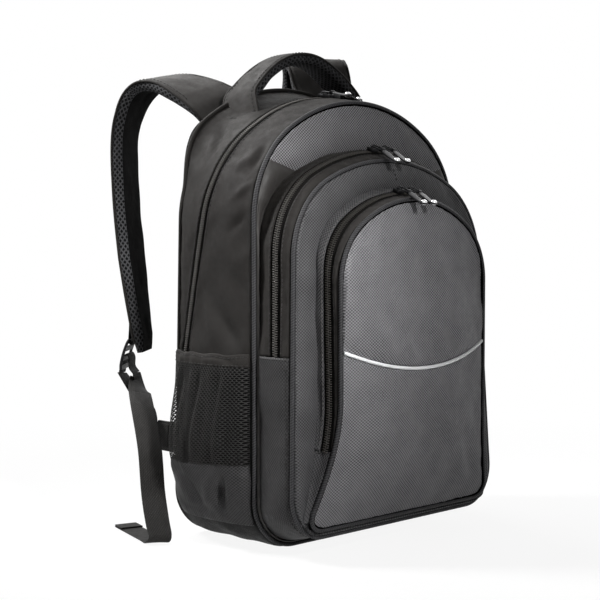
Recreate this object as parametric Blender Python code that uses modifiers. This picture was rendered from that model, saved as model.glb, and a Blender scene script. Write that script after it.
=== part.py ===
"""School backpack with three zipped compartments, two mesh side pockets and padded shoulder straps.

Metres, +Z up. The front faces -Y, the wearer's back is at +Y, and the origin is the middle of the base.
"""
import math
from collections import namedtuple

import bmesh
import bpy
from mathutils import Matrix, Vector

# Sewing allowances and cloth thicknesses
SEAM_GAP = 0.0004
PANEL_THICK = 0.0020
TAPE_THICK = 0.0012
WEBBING_THICK = 0.0016
WEBBING_WIDTH = 0.025
PIPING_RADIUS = 0.0022
COIL_RADIUS = 0.0012
PIPING_SIDES = 1
COIL_SIDES = 0
PIPING_CLEAR = PIPING_RADIUS + SEAM_GAP + 0.0003
PANEL_CLEAR = PIPING_CLEAR + 0.0006
BACK_CLEAR = PIPING_CLEAR + 0.0010
FRONT_CLEAR = PIPING_CLEAR + 0.0008
BASE_DRAW = 0.0030
BASE_TRIM = 0.0012

# Steps along each half outline
FLAT_STEPS = 2
CORNER_STEPS = 4
SHOULDER_STEPS = 5
CROWN_STEPS = 5

# Arched outlines: half width at the spring line and at the foot, heights, radii and side levels
Arch = namedtuple("Arch", "half foot bottom top corner crown_radius crown_angle levels")
SIDE_LEVELS = (0.125, 0.200, 0.268)
MAIN = Arch(0.155, 0.155, 0.000, 0.460, 0.055, 0.190, math.radians(34), SIDE_LEVELS)
MID_BASE = Arch(0.1480, 0.1480, 0.0085, 0.4075, 0.045, 0.2219, math.radians(26.6), SIDE_LEVELS)
MID = Arch(0.1450, 0.1555, 0.021, 0.3970, 0.042, 0.2114, math.radians(26.6), SIDE_LEVELS)
FRONT_LEVELS = (0.068, 0.108, 0.150, 0.205)
FRONT_BASE = Arch(0.1170, 0.1170, 0.026, 0.3680, 0.020, 0.1535, math.radians(35.5), FRONT_LEVELS)
FRONT = Arch(0.1129, 0.1129, 0.029, 0.3567, 0.020, 0.1422, math.radians(35.5), FRONT_LEVELS)
BASE_SEAM = 5
ZIP_END = 8
FRONT_FOOT = 7
FRONT_ZIP_END = 8
FRONT_SMILE = 10

# Depths: the main compartment between its two seams, then the middle and front pockets
FRONT_SEAM_Y = -0.065
BACK_SEAM_Y = 0.056
BACK_LEAN = 0.012
MAIN_ZIP_TOP_Y = -0.019
MAIN_ZIP_BACK_OFFSET = 0.0146
MID_DEPTH = 0.0562
MID_LEAN = 0.037
FRONT_DEPTH = 0.0784
FRONT_RISE = 0.130
FRONT_FLARE = 0.030
POCKET_STANDOFF = 0.0048
SIDE_BULGE = 0.008
REAR_RISE = 0.021
REAR_SLOPES = (0.26, 0.80)
REAR_POWER = 5
SIDE_TURN = 0.7
MID_BULGE = 0.006
ZIP_HALF = 0.0065
BACK_PAD = 0.010
BACK_RINGS = (0.97, 0.90, 0.5)
BACK_RISES = (0.002, 0.008, BACK_PAD)
BACK_THICK = 1.5 * PANEL_THICK
MID_CROWN = 0.002
FRONT_CROWN = 0.013
FRONT_CROWN_ACROSS = 2.5
FRONT_CROWN_ALONG = 3

# Stiffening board inside the base
BOARD_MARGIN = 0.010
BOARD_THICK = 0.003
BOARD_BEVEL = 0.0010
BOARD_LIFT = 0.0003

# Steps used to measure a wall's slope: a depth on the main wall, a share on the pocket walls
MAIN_STEP = 0.001
POCKET_STEP = 0.02

# Places on the pocket walls, as shares of their depth from the panel behind to the front seam
MID_ZIP = 0.590
MID_TAPE_HALF = 0.145
MID_SEAM = 0.015
MID_EDGE = 0.930
FRONT_ZIP = 0.440
FRONT_TAPE_HALF = 0.220
FRONT_SEAM = 0.020
FRONT_EDGE = 0.860
FRONT_FOOT_EDGE = 0.620

# Front pocket trim
SMILE_ENDS_Z = 0.205
SMILE_DIP = 0.021
SMILE_RADIUS = 0.0018
SMILE_INSET = PIPING_CLEAR + 0.0012
UPPER_ROWS = (0.0, 0.20, 0.55, 0.87, 1.0)
LOWER_COLUMNS = 12

# Side pockets
POCKET_FRONT_Y = -0.054
POCKET_BACK_Y = 0.047
POCKET_LEVELS = (0.040, 0.066, 0.090)
POCKET_MESH_LEVELS = (0.090, 0.120, 0.150, 0.188)
POCKET_HEM_LEVELS = (0.188, 0.201)
POCKET_BULGE = 0.017
POCKET_HEM_BULGE = 0.011
POCKET_BASE_DRAW = 0.82
POCKET_CLEAR = SEAM_GAP + PANEL_THICK + 0.0006
POCKET_COLUMNS = 10

# Zip sliders and pulls
SLIDER = Vector((0.0115, 0.0090, 0.0042))
SLIDER_LIFT = 0.0005
GROOVE = Vector((0.020, 0.0040, 0.0068))
WIRE = 0.0008
BRIDGE_HEIGHT = 0.0034
BRIDGE_INSET = 0.0022
BRIDGE_SUNK = 0.0006
BRIDGE_STEPS = 4
LINK_LIFT = 0.0016
LINK_LENGTH = 0.0125
LINK_WIDTH = 0.0078
LINK_CORNER = 0.0012
LINK_ROOT = 0.0027
EYE_RADIUS = 0.0021
EYE_BORE = 0.0013
EYE_LENGTH = 0.0050
TAB_LENGTH = 0.0260
TAB_WIDTH = 0.0100
TAB_THICK = 0.0018
TAB_NECK = 0.0012
TAB_SHOULDER = 0.0065
TAB_END = 0.42
TAB_END_STEPS = 6
BEAD_RADIUS = 0.0030
BEAD_LENGTH = 0.0060
BEAD_SUNK = 0.0006
SLIDER_BEVEL = 0.0011
PULL_DROP = {"main": math.radians(8), "mid": math.radians(14), "front": math.radians(12)}
SLIDER_ANGLE = {"main": math.radians(2.4), "mid": math.radians(2.2), "front": math.radians(3.2)}

# Haul handle
HANDLE_Y = 0.030
HANDLE_HALF_SPAN = 0.0845
HANDLE_AXIS_Z = 0.4665
HANDLE_RISE = 0.0480
HANDLE_WIDTH = 0.032
HANDLE_FOOT_WIDTH = 0.022
HANDLE_THICK = 0.010
HANDLE_STATIONS = 17
HANDLE_ROUND = 2.0
HANDLE_WIDENS = 4.5
HANDLE_FOOT_THICK = 0.6
HANDLE_THICKENS = 5.0

# Shoulder straps
STRAP_ROOT = Vector((0.084, 0.0560, 0.4520))
STRAP_ROOT_SLANT = {"left": math.radians(25), "right": math.radians(8)}
STRAP_TWIST = math.radians(36)
STRAP_WIDTH = 0.072
STRAP_END_WIDTH = 0.042
STRAP_THICK = 0.013
STRAP_STATIONS = 18
STRAP_TURNED = {"left": 0.37, "right": 0.16}
STRAP_TAPERS = 0.75
STRAP_ROOT_THICK = 0.3
STRAP_END_THICK = 0.5
STRAP_SWELL = (8.0, 12.0)
STRAP_ROUTES = {
    "left": ((0.0, 0.0), (0.014, 0.0145), (0.064, 0.0355), (0.100, 0.0285), (0.1145, -0.012), (0.113, -0.086),
             (0.102, -0.177), (0.0945, -0.262)),
    "right": ((0.0, 0.0), (0.011, 0.034), (0.019, 0.062), (0.040, 0.068), (0.060, 0.036), (0.104, -0.082),
              (0.102, -0.177), (0.0945, -0.262)),
}
STRAP_SPREADS = {
    "left": (0.0, 0.010, 0.022, 0.033, 0.046, 0.048, 0.046, 0.038),
    "right": (0.0, -0.003, -0.007, 0.008, 0.025, 0.042, 0.046, 0.038),
}

# Ladder locks, hanging from their top bar behind the strap's end
LADDER_SIZE = Vector((0.034, 0.003, 0.036))
LADDER_CORNER = 0.005
LADDER_SLOT = Vector((0.027, 0.0, 0.0052))
LADDER_SLOT_CORNER = 0.0012
LADDER_SLOTS_Z = (0.0115, 0.0005, -0.0100)
LADDER_BAR_Z = 0.0160
LADDER_BOW = 5.0
LADDER_TILT = math.radians(24)
LOOP_SEWN = 0.046
LOOP_HANGS = 0.016
LOOP_STAND = 0.0022
LOOP_CLEAR = 0.0032

# Webbing routes, given for the left side, from the lock to the side seam and to the floor
ANCHOR_SIZE = Vector((0.0030, 0.026, 0.032))
ANCHOR_BEVEL = 0.0008
ANCHOR_PLACE = (-0.1572, 0.0700, 0.106)
LOWER_START_OUT = 0.0050
LOWER_START_DROP = 0.0035
LOWER_ROUTE = ((-0.1270, 0.1440, 0.1280), (-0.1450, 0.1100, 0.1120), (-0.1602, 0.0860, 0.1090),
               (-0.1600, 0.0620, 0.1070))
LOWER_TURNS = ((0.35, (0.85, 0.45, 0.25)), (0.75, (0.0, 0.0, 1.0)), (1.0, (0.0, 0.0, 1.0)))
LOWER_STATIONS = 12
FLOOR_CLEAR = WEBBING_THICK / 2 + 0.0006
TAIL_START_IN = 0.0115
TAIL_START_DROP = 0.0050
TAIL_FALL = (-0.0020, -0.0060, -0.0120)
TAIL_ROUTE = ((-0.1679, 0.0980, 0.1392), (-0.1862, 0.0620, 0.0976), (-0.1883, 0.0540, 0.0525),
              (-0.1917, 0.0430, 0.0237), (-0.1935, 0.0360, 0.0090), (-0.1925, 0.0430, FLOOR_CLEAR + 0.0008),
              (-0.1850, 0.0640, FLOOR_CLEAR), (-0.1645, 0.1320, FLOOR_CLEAR))
TAIL_TURNS = ((0.15, (0.95, 0.30, 0.0)), (0.35, (0.85, -0.50, 0.0)), (0.55, (0.708, -0.706, 0.0)),
              (0.68, (0.93, -0.33, 0.12)), (0.74, (0.97, -0.24, 0.0)), (1.0, (0.97, -0.24, 0.0)))
TAIL_STATIONS = 25

# Finishes: colour, roughness, metallic
FINISHES = {
    "textured_fabric": ((0.055, 0.053, 0.056), 0.75, 0.0),
    "plain_fabric": ((0.040, 0.038, 0.036), 0.80, 0.0),
    "base_fabric": ((0.015, 0.015, 0.015), 0.55, 0.0),
    "spacer_mesh": ((0.012, 0.012, 0.012), 0.90, 0.0),
    "piping": ((0.060, 0.058, 0.058), 0.70, 0.0),
    "reflective": ((0.850, 0.850, 0.850), 0.35, 0.0),
    "zip_tape": ((0.035, 0.033, 0.031), 0.85, 0.0),
    "zip_coil": ((0.050, 0.048, 0.045), 0.50, 0.0),
    "gunmetal": ((0.120, 0.120, 0.125), 0.30, 1.0),
    "webbing": ((0.025, 0.024, 0.022), 0.80, 0.0),
    "moulded_plastic": ((0.030, 0.030, 0.030), 0.45, 0.0),
    "board": ((0.020, 0.020, 0.020), 0.60, 0.0),
}


def clear_scene():
    """Remove every object of the open scene and return new collections for parts and cutters."""
    for item in list(bpy.data.objects):
        bpy.data.objects.remove(item, do_unlink=True)
    parts = bpy.data.collections.new("school_backpack")
    tools = bpy.data.collections.new("cutters")
    bpy.context.scene.collection.children.link(parts)
    bpy.context.scene.collection.children.link(tools)
    return parts, tools


PARTS, CUTTERS = clear_scene()


def finish(name):
    """Principled material of the named finish."""
    material = bpy.data.materials.get(name)
    if material is None:
        colour, roughness, metallic = FINISHES[name]
        material = bpy.data.materials.new(name)
        material.use_nodes = True
        shader = material.node_tree.nodes["Principled BSDF"]
        shader.inputs["Base Color"].default_value = (*colour, 1.0)
        shader.inputs["Roughness"].default_value = roughness
        shader.inputs["Metallic"].default_value = metallic
    return material


def add_part(name, mesh, look, smooth=True):
    """Put a mesh in the parts collection as one named sub-part with its material."""
    item = bpy.data.objects.new(name, mesh)
    PARTS.objects.link(item)
    mesh.materials.clear()
    mesh.materials.append(finish(look))
    if smooth:
        mesh.shade_smooth()
        mesh.set_sharp_from_angle(angle=math.radians(40))
    return item


def mesh_from_faces(name, points, faces):
    """Mesh built from points and faces, for lofts that no primitive gives."""
    mesh = bpy.data.meshes.new(name)
    mesh.from_pydata([tuple(point) for point in points], [], faces)
    mesh.update()
    return mesh


def solidify(item, thickness):
    """Thicken an open surface away from its outer face."""
    shell = item.modifiers.new("thickness", "SOLIDIFY")
    shell.thickness = thickness
    shell.offset = -1.0
    shell.use_even_offset = False
    return item


def mesh_of(item):
    """Welded mesh of an object's evaluated shape, in world space; the object is removed."""
    bpy.context.view_layer.update()
    graph = bpy.context.evaluated_depsgraph_get()
    mesh = bpy.data.meshes.new_from_object(item.evaluated_get(graph))
    mesh.transform(item.matrix_world)
    work = bmesh.new()
    work.from_mesh(mesh)
    bmesh.ops.remove_doubles(work, verts=work.verts, dist=1e-6)
    bmesh.ops.recalc_face_normals(work, faces=work.faces)
    work.to_mesh(mesh)
    work.free()
    bpy.data.objects.remove(item, do_unlink=True)
    return mesh


def boolean(item, tool_mesh, operation):
    """Join or cut an object with a mesh, exactly, and bake the result into its mesh."""
    tool = bpy.data.objects.new("cutter", tool_mesh)
    CUTTERS.objects.link(tool)
    tool.hide_render = True
    tool.display_type = "WIRE"
    step = item.modifiers.new(operation.lower(), "BOOLEAN")
    step.object = tool
    step.operation = operation
    step.solver = "EXACT"
    bpy.context.view_layer.update()
    graph = bpy.context.evaluated_depsgraph_get()
    baked = bpy.data.meshes.new_from_object(item.evaluated_get(graph))
    item.modifiers.remove(step)
    item.data = baked
    bpy.data.objects.remove(tool, do_unlink=True)
    return item


def loose(mesh):
    """Plain object for a mesh that is still being worked on."""
    item = bpy.data.objects.new("work", mesh)
    CUTTERS.objects.link(item)
    return item


def rounded_box(size, bevel, segments=1):
    """Mesh of a box with bevelled edges, centred on the origin."""
    mesh = bpy.data.meshes.new("box")
    work = bmesh.new()
    bmesh.ops.create_cube(work, size=1.0, matrix=Matrix.Diagonal((*size, 1.0)))
    if bevel > 0.0:
        bmesh.ops.bevel(work, geom=work.edges, offset=bevel, segments=segments, profile=0.5,
                        affect="EDGES")
    work.to_mesh(mesh)
    work.free()
    return mesh


def cylinder(radius, length, sides, axis="X"):
    """Mesh of a capped cylinder centred on the origin along one axis."""
    turn = {"X": Matrix.Rotation(math.pi / 2, 4, "Y"), "Z": Matrix.Identity(4)}[axis]
    mesh = bpy.data.meshes.new("cylinder")
    work = bmesh.new()
    bmesh.ops.create_cone(work, cap_ends=True, segments=sides, radius1=radius, radius2=radius, depth=length,
                          matrix=turn)
    work.to_mesh(mesh)
    work.free()
    return mesh


def wire(points, radius, closed=False, resolution=1):
    """Mesh of a round wire along points; a resolution of 0 gives four sides, and each step two more."""
    curve = bpy.data.curves.new("wire", "CURVE")
    curve.dimensions = "3D"
    curve.bevel_depth = radius
    curve.bevel_resolution = resolution
    curve.use_fill_caps = True
    spline = curve.splines.new("POLY")
    spline.points.add(len(points) - 1)
    for knot, point in zip(spline.points, points):
        knot.co = (*point, 1.0)
    spline.use_cyclic_u = closed
    return mesh_of(loose(curve))


def plate(outlines, thickness):
    """Mesh of a flat plate in the XZ plane from closed outlines of (x, z); inner ones are holes."""
    curve = bpy.data.curves.new("plate", "CURVE")
    curve.dimensions = "2D"
    curve.fill_mode = "BOTH"
    curve.extrude = thickness / 2
    for outline in outlines:
        spline = curve.splines.new("POLY")
        spline.points.add(len(outline) - 1)
        for knot, point in zip(spline.points, outline):
            knot.co = (point[0], point[1], 0.0, 1.0)
        spline.use_cyclic_u = True
    mesh = mesh_of(loose(curve))
    mesh.transform(Matrix.Rotation(math.pi / 2, 4, "X"))
    return mesh


def round_rectangle(width, height, radius, steps=3, centre=(0.0, 0.0)):
    """Outline of a rectangle with rounded corners."""
    points = []
    for corner, (sx, sz) in enumerate(((1, 1), (-1, 1), (-1, -1), (1, -1))):
        for step in range(steps + 1):
            angle = math.pi / 2 * (corner + step / steps)
            points.append((centre[0] + sx * (width / 2 - radius) + radius * math.cos(angle),
                           centre[1] + sz * (height / 2 - radius) + radius * math.sin(angle)))
    return points


# Arched outlines

def arch_half(arch):
    """Right half of an arched outline as (x, z), from the bottom centre up to the top centre."""
    sine = math.sin(arch.crown_angle)
    cosine = math.cos(arch.crown_angle)
    shoulder = (arch.half - arch.crown_radius * sine) / (1 - sine)
    spring_x = arch.half - shoulder
    spring_z = arch.top - arch.crown_radius + (arch.crown_radius - shoulder) * cosine
    flat = arch.foot - arch.corner
    foot_z = arch.bottom + arch.corner
    points = [(flat * step / FLAT_STEPS, arch.bottom) for step in range(FLAT_STEPS)]
    for step in range(CORNER_STEPS):
        angle = math.pi / 2 * step / CORNER_STEPS
        points.append((flat + arch.corner * math.sin(angle), foot_z - arch.corner * math.cos(angle)))
    for level in (foot_z, *arch.levels):
        share = (level - foot_z) / (spring_z - foot_z)
        points.append((arch.foot + (arch.half - arch.foot) * share, level))
    for step in range(SHOULDER_STEPS):
        angle = (math.pi / 2 - arch.crown_angle) * step / SHOULDER_STEPS
        points.append((spring_x + shoulder * math.cos(angle), spring_z + shoulder * math.sin(angle)))
    for step in range(CROWN_STEPS + 1):
        angle = arch.crown_angle * (1 - step / CROWN_STEPS)
        points.append((arch.crown_radius * math.sin(angle),
                       arch.top - arch.crown_radius * (1 - math.cos(angle))))
    return points


def arch_loop(arch):
    """Whole outline, counter-clockwise seen from the front, starting at the bottom centre."""
    right = arch_half(arch)
    return right + [(-x, z) for x, z in reversed(right[1:-1])]


def loop_normals(loop):
    """Outward unit normals of an outline in its plane."""
    normals = []
    for index in range(len(loop)):
        before = loop[index - 1]
        after = loop[(index + 1) % len(loop)]
        normals.append(Vector((after[1] - before[1], before[0] - after[0])).normalized())
    return normals


def crown_floor(arch):
    """Height at which the top arc of an outline begins."""
    return arch.top - arch.crown_radius * (1 - math.cos(arch.crown_angle))


def side_share(normal):
    """How far an outline point belongs to the sides and top: 0 on the flat bottom, 1 elsewhere."""
    return min(1.0, max(0.0, (1.0 + normal.y) / SIDE_TURN))


def rear_rise(normal):
    """Height of the rear seam over the main outline: none at the sides, full over the top."""
    low, high = REAR_SLOPES
    share = min(1.0, max(0.0, (normal.y - low) / (high - low)))
    return REAR_RISE * share * share * (3 - 2 * share)


MAIN_LOOP = arch_loop(MAIN)
MAIN_NORMALS = loop_normals(MAIN_LOOP)
SEAM_LOOP = [(x - n.x * BASE_DRAW * (1 - side_share(n)), z - n.y * BASE_DRAW * (1 - side_share(n)))
             for (x, z), n in zip(MAIN_LOOP, MAIN_NORMALS)]
SEAM_NORMALS = loop_normals(SEAM_LOOP)
BACK_LOOP = [(x + n.x * rear_rise(n), z + n.y * rear_rise(n))
             for (x, z), n in zip(SEAM_LOOP, SEAM_NORMALS)]
BACK_NORMALS = loop_normals(BACK_LOOP)
COUNT = len(MAIN_LOOP)
MID_BASE_LOOP = arch_loop(MID_BASE)
MID_LOOP = arch_loop(MID)
MID_NORMALS = loop_normals(MID_LOOP)


def back_y(z):
    """Depth of the seam between the gussets and the back panel at a height."""
    return BACK_SEAM_Y - BACK_LEAN * z / MAIN.top


def main_point(index, y):
    """Point on the bulged side and top wall of the main compartment, which rises towards the back."""
    x, z = MAIN_LOOP[index]
    normal = MAIN_NORMALS[index]
    share = (y - FRONT_SEAM_Y) / (back_y(z) - FRONT_SEAM_Y)
    lift = SIDE_BULGE * 4 * share * (1 - share) * side_share(normal)
    lift += rear_rise(normal) * share ** REAR_POWER
    return Vector((x + normal.x * lift, y, z + normal.y * lift))


def main_zip_y(index):
    """Depth of the main zip: level over the top arc, then running back as it comes down."""
    z = MAIN_LOOP[index][1]
    low_z = SIDE_LEVELS[1]
    low_y = back_y(low_z) - MAIN_ZIP_BACK_OFFSET
    share = min(1.0, max(0.0, (crown_floor(MAIN) - z) / (crown_floor(MAIN) - low_z)))
    if z < low_z:
        return back_y(z) - MAIN_ZIP_BACK_OFFSET
    return MAIN_ZIP_TOP_Y + (low_y - MAIN_ZIP_TOP_Y) * share


def mid_y(z):
    """Depth of the middle pocket's front seam at a height; level over its top arc."""
    return FRONT_SEAM_Y - MID_DEPTH + MID_LEAN * min(z, crown_floor(MID))


def mid_point(index, share):
    """Point on the middle pocket's wall, from the main front panel (0) to its front seam (1)."""
    base = MID_BASE_LOOP[index]
    edge = MID_LOOP[index]
    normal = MID_NORMALS[index]
    lift = MID_BULGE * 4 * share * (1 - share) * side_share(normal)
    start_y = FRONT_SEAM_Y - 2 * SEAM_GAP
    return Vector((base[0] + (edge[0] - base[0]) * share + normal.x * lift,
                   start_y + (mid_y(edge[1]) - start_y) * share,
                   base[1] + (edge[1] - base[1]) * share + normal.y * lift))


# Front pocket: its outline flares and runs back into the middle pocket towards the foot

def front_rise(z):
    """Share of the front pocket's full depth at a height."""
    return math.sin(math.pi / 2 * min(1.0, max(0.0, (z - FRONT.bottom) / FRONT_RISE)))


def front_outline(arch):
    """Outline of the front pocket with its flared foot."""
    return [(x * (1 + FRONT_FLARE / arch.half * (1 - front_rise(z))), z) for x, z in arch_loop(arch)]


def front_y(z):
    """Depth of the front pocket's seam at a height."""
    reach = FRONT_SEAM_Y - FRONT_DEPTH
    near = mid_y(z) - POCKET_STANDOFF
    return near + (reach - near) * front_rise(z)


FRONT_BASE_LOOP = front_outline(FRONT_BASE)
FRONT_LOOP = front_outline(FRONT)
FRONT_NORMALS = loop_normals(FRONT_LOOP)
FRONT_COUNT = len(FRONT_LOOP)


def front_point(index, share):
    """Point on the front pocket's wall, from the middle panel (0) to its front seam (1)."""
    base = FRONT_BASE_LOOP[index]
    edge = FRONT_LOOP[index]
    start_y = mid_y(base[1]) - POCKET_STANDOFF
    return Vector((base[0] + (edge[0] - base[0]) * share, start_y + (front_y(edge[1]) - start_y) * share,
                   base[1] + (edge[1] - base[1]) * share))


def front_half_width(z):
    """Half width of the front pocket's outline at a height."""
    right = FRONT_LOOP[FLAT_STEPS:FRONT_COUNT // 2 + 1]
    for (x0, z0), (x1, z1) in zip(right, right[1:]):
        if z0 <= z <= z1:
            return x0 + (x1 - x0) * (z - z0) / max(z1 - z0, 1e-9)
    return 0.0


# Cloth bands, panels and tubes

def trimmed(row, gap):
    """Row of points with both ends drawn in by a gap."""
    first = row[0] + (row[1] - row[0]).normalized() * gap
    last = row[-1] + (row[-2] - row[-1]).normalized() * gap
    return [first, *row[1:-1], last]


def band(name, rows, thickness, look, gap=SEAM_GAP):
    """Open strip of cloth through rows of points that run front to back."""
    rows = [trimmed(row, gap) for row in rows]
    length = len(rows[0])
    faces = []
    for j in range(len(rows) - 1):
        for i in range(length - 1):
            a = j * length + i
            faces.append((a, a + length, a + length + 1, a + 1))
    item = add_part(name, mesh_from_faces(name, [p for row in rows for p in row], faces), look)
    return solidify(item, thickness)


def spread(start, end, count):
    """Evenly spaced values from start to end."""
    return [start + (end - start) * step / (count - 1) for step in range(count)]


def over_top(first, count):
    """Outline indices from a point on the right, over the top, to its mirror on the left."""
    return list(range(first, count - first + 1))


def round_bottom(last, count):
    """Outline indices from a point on the left, along the bottom, to its mirror on the right."""
    return [index % count for index in range(count - last, count + last + 1)]


def panel(name, loop, normals, depth_of, inset, scales, crowns, thickness, look, facing=-1):
    """Crowned panel inside an outline: an inset edge, then rings drawn towards the middle."""
    edge = [(x - n.x * inset, z - n.y * inset) for (x, z), n in zip(loop, normals)]
    middle = (min(z for _, z in edge) + max(z for _, z in edge)) / 2
    count = len(edge)
    points = []
    for scale, crown in zip((1.0, *scales), (0.0, *crowns)):
        for x, z in edge:
            height = middle + (z - middle) * scale
            points.append((x * scale, depth_of(height) + facing * crown, height))
    points.append((0.0, depth_of(middle) + facing * crowns[-1], middle))
    faces = []
    for ring in range(len(scales)):
        for i in range(count):
            a = ring * count + i
            b = ring * count + (i + 1) % count
            faces.append((a, b, b + count, a + count))
    last = len(scales) * count
    for i in range(count):
        faces.append((last + i, last + (i + 1) % count, len(points) - 1))
    if facing > 0:
        faces = [tuple(reversed(face)) for face in faces]
    item = add_part(name, mesh_from_faces(name, points, faces), look)
    return solidify(item, thickness)


def tube(name, points, radius, look, closed):
    """Piping or coil: a round cord along points."""
    return add_part(name, wire(points, radius, closed, PIPING_SIDES if closed else COIL_SIDES), look)


def raised(point_at, index, share, step, height):
    """Point above a wall by a height, along the wall's own normal."""
    along = point_at(index + 1, share) - point_at(index - 1, share)
    across = point_at(index, share + step) - point_at(index, share - step)
    return point_at(index, share) + across.cross(along).normalized() * height


def front_seam(z):
    """Depth of the main compartment's front seam, the same at every height."""
    return FRONT_SEAM_Y


def front_edge(index):
    """Depth of the front edge of the main gussets, clear of the piping."""
    return FRONT_SEAM_Y + PIPING_CLEAR


def back_edge(index):
    """Depth of the back edge of the main gussets, clear of the piping."""
    return back_y(BACK_LOOP[index][1]) - PIPING_CLEAR


def beside_zip(offset):
    """Function that gives the depth of a line beside the main zip."""
    def edge(index):
        return main_zip_y(index) + offset

    return edge


def main_rows(indices, low, high, count):
    """Rows of points on the main wall between two edges."""
    return [[main_point(i, low(i) + (high(i) - low(i)) * share) for i in indices]
            for share in spread(0.0, 1.0, count)]


def main_compartment():
    """Main compartment: gussets, zip, panels, base and pipings."""
    upper = over_top(BASE_SEAM, COUNT)
    zipped = over_top(ZIP_END, COUNT)
    bottom = round_bottom(BASE_SEAM, COUNT)
    front = main_rows(upper, front_edge, beside_zip(-ZIP_HALF - SEAM_GAP), 4)
    tape = main_rows(zipped, beside_zip(-ZIP_HALF), beside_zip(ZIP_HALF), 3)
    rear = main_rows(upper, beside_zip(ZIP_HALF + SEAM_GAP), back_edge, 4)
    band("main_gusset", front, PANEL_THICK, "plain_fabric", BASE_TRIM)
    band("main_zip_tape", tape, TAPE_THICK, "zip_tape")
    band("rear_gusset", rear, PANEL_THICK, "plain_fabric", BASE_TRIM)
    band("base_panel", main_rows(bottom, front_edge, back_edge, 3), PANEL_THICK, "base_fabric", BASE_TRIM)
    coil = [raised(main_point, i, main_zip_y(i), MAIN_STEP, COIL_RADIUS + SEAM_GAP) for i in zipped[1:-1]]
    tube("main_zip_coil", coil, COIL_RADIUS, "zip_coil", False)
    for name, seam, loop in (("main_piping", front_seam, SEAM_LOOP), ("back_piping", back_y, BACK_LOOP)):
        tube(name, [(x, seam(z), z) for x, z in loop], PIPING_RADIUS, "piping", True)
    panel("main_front_panel", SEAM_LOOP, SEAM_NORMALS, front_seam, PANEL_CLEAR, (0.9,), (0.0,), PANEL_THICK,
          "textured_fabric")
    panel("back_panel", BACK_LOOP, BACK_NORMALS, back_y, BACK_CLEAR, BACK_RINGS, BACK_RISES, BACK_THICK,
          "spacer_mesh", facing=1)
    base_board()


def base_board():
    """Stiffening board lying on the inside of the base panel."""
    size = (2 * (MAIN.half - MAIN.corner), BACK_SEAM_Y - FRONT_SEAM_Y - 2 * BOARD_MARGIN, BOARD_THICK)
    board = add_part("base_board", rounded_box(size, BOARD_BEVEL), "board", smooth=False)
    board.location = (0.0, (FRONT_SEAM_Y + BACK_SEAM_Y) / 2, PANEL_THICK + BOARD_LIFT + BOARD_THICK / 2)


def middle_pocket():
    """Middle compartment on the main front panel: walls, zip, panel and piping."""
    zipped = over_top(ZIP_END, COUNT)

    def rows(indices, low, high, count):
        return [[mid_point(i, s) for i in reversed(indices)] for s in spread(low, high, count)]

    low = MID_ZIP - MID_TAPE_HALF
    high = MID_ZIP + MID_TAPE_HALF
    band("mid_gusset", rows(zipped, 0.0, low - MID_SEAM, 3), PANEL_THICK, "plain_fabric")
    band("mid_zip_tape", rows(zipped, low, high, 3), TAPE_THICK, "zip_tape")
    band("mid_zip_welt", rows(zipped, high + MID_SEAM, MID_EDGE, 2), PANEL_THICK, "textured_fabric")
    lower = rows(round_bottom(ZIP_END, COUNT), 0.0, MID_EDGE, 4)
    band("mid_lower_gusset", lower, PANEL_THICK, "plain_fabric")
    coil = [raised(mid_point, i, MID_ZIP, -POCKET_STEP, COIL_RADIUS + SEAM_GAP) for i in zipped[1:-1]]
    tube("mid_zip_coil", coil, COIL_RADIUS, "zip_coil", False)
    tube("mid_piping", [mid_point(i, 1.0) for i in range(COUNT)], PIPING_RADIUS, "piping", True)
    panel("mid_front_panel", MID_LOOP, MID_NORMALS, mid_y, PANEL_CLEAR, (0.93, 0.5), (MID_CROWN, MID_CROWN),
          PANEL_THICK, "textured_fabric")


def front_pocket():
    """Front pocket: walls, zip, upper and lower panel with the reflective piping between them."""
    zipped = over_top(FRONT_ZIP_END, FRONT_COUNT)

    def rows(indices, low, high, count):
        return [[front_point(i, s) for i in reversed(indices)] for s in spread(low, high, count)]

    low = FRONT_ZIP - FRONT_TAPE_HALF
    high = FRONT_ZIP + FRONT_TAPE_HALF
    band("front_gusset", rows(zipped, 0.0, low - FRONT_SEAM, 2), PANEL_THICK, "textured_fabric")
    band("front_zip_tape", rows(zipped, low, high, 3), TAPE_THICK, "zip_tape")
    band("front_zip_welt", rows(zipped, high + FRONT_SEAM, FRONT_EDGE, 2), PANEL_THICK, "textured_fabric")
    coil = [raised(front_point, i, FRONT_ZIP, -POCKET_STEP, COIL_RADIUS + SEAM_GAP) for i in zipped[1:-1]]
    tube("front_zip_coil", coil, COIL_RADIUS, "zip_coil", False)
    lower_right = list(range(FRONT_FOOT, FRONT_ZIP_END + 1))
    lower_left = [FRONT_COUNT - i for i in reversed(lower_right)]
    for tag, indices in (("right", lower_right), ("left", lower_left)):
        foot = rows(indices, 0.0, FRONT_FOOT_EDGE, 2)
        band(f"front_side_gusset_{tag}", foot, PANEL_THICK, "textured_fabric")
    line = [front_point(i, 1.0) for i in range(FRONT_COUNT)]
    tube("front_piping", line, PIPING_RADIUS, "piping", True)
    front_panels()


def crown_depth(x, z):
    """How far the front panel swells beyond its seam."""
    width = front_half_width(z)
    across = max(0.0, 1.0 - (abs(x) / max(width, 1e-6)) ** FRONT_CROWN_ACROSS)
    middle = (FRONT.top + FRONT.bottom) / 2
    reach = FRONT.top - middle
    along = max(0.0, 1.0 - (abs(z - middle) / reach) ** FRONT_CROWN_ALONG)
    return FRONT_CROWN * across * along


def smile(share):
    """Point (x, z) on the curved seam of the front panel, from its right end (0) to its left end (1)."""
    half = FRONT.half - SMILE_INSET
    x = half * math.cos(math.pi * share)
    return x, SMILE_ENDS_Z - SMILE_DIP * (1 - (x / half) ** 2)


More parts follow.
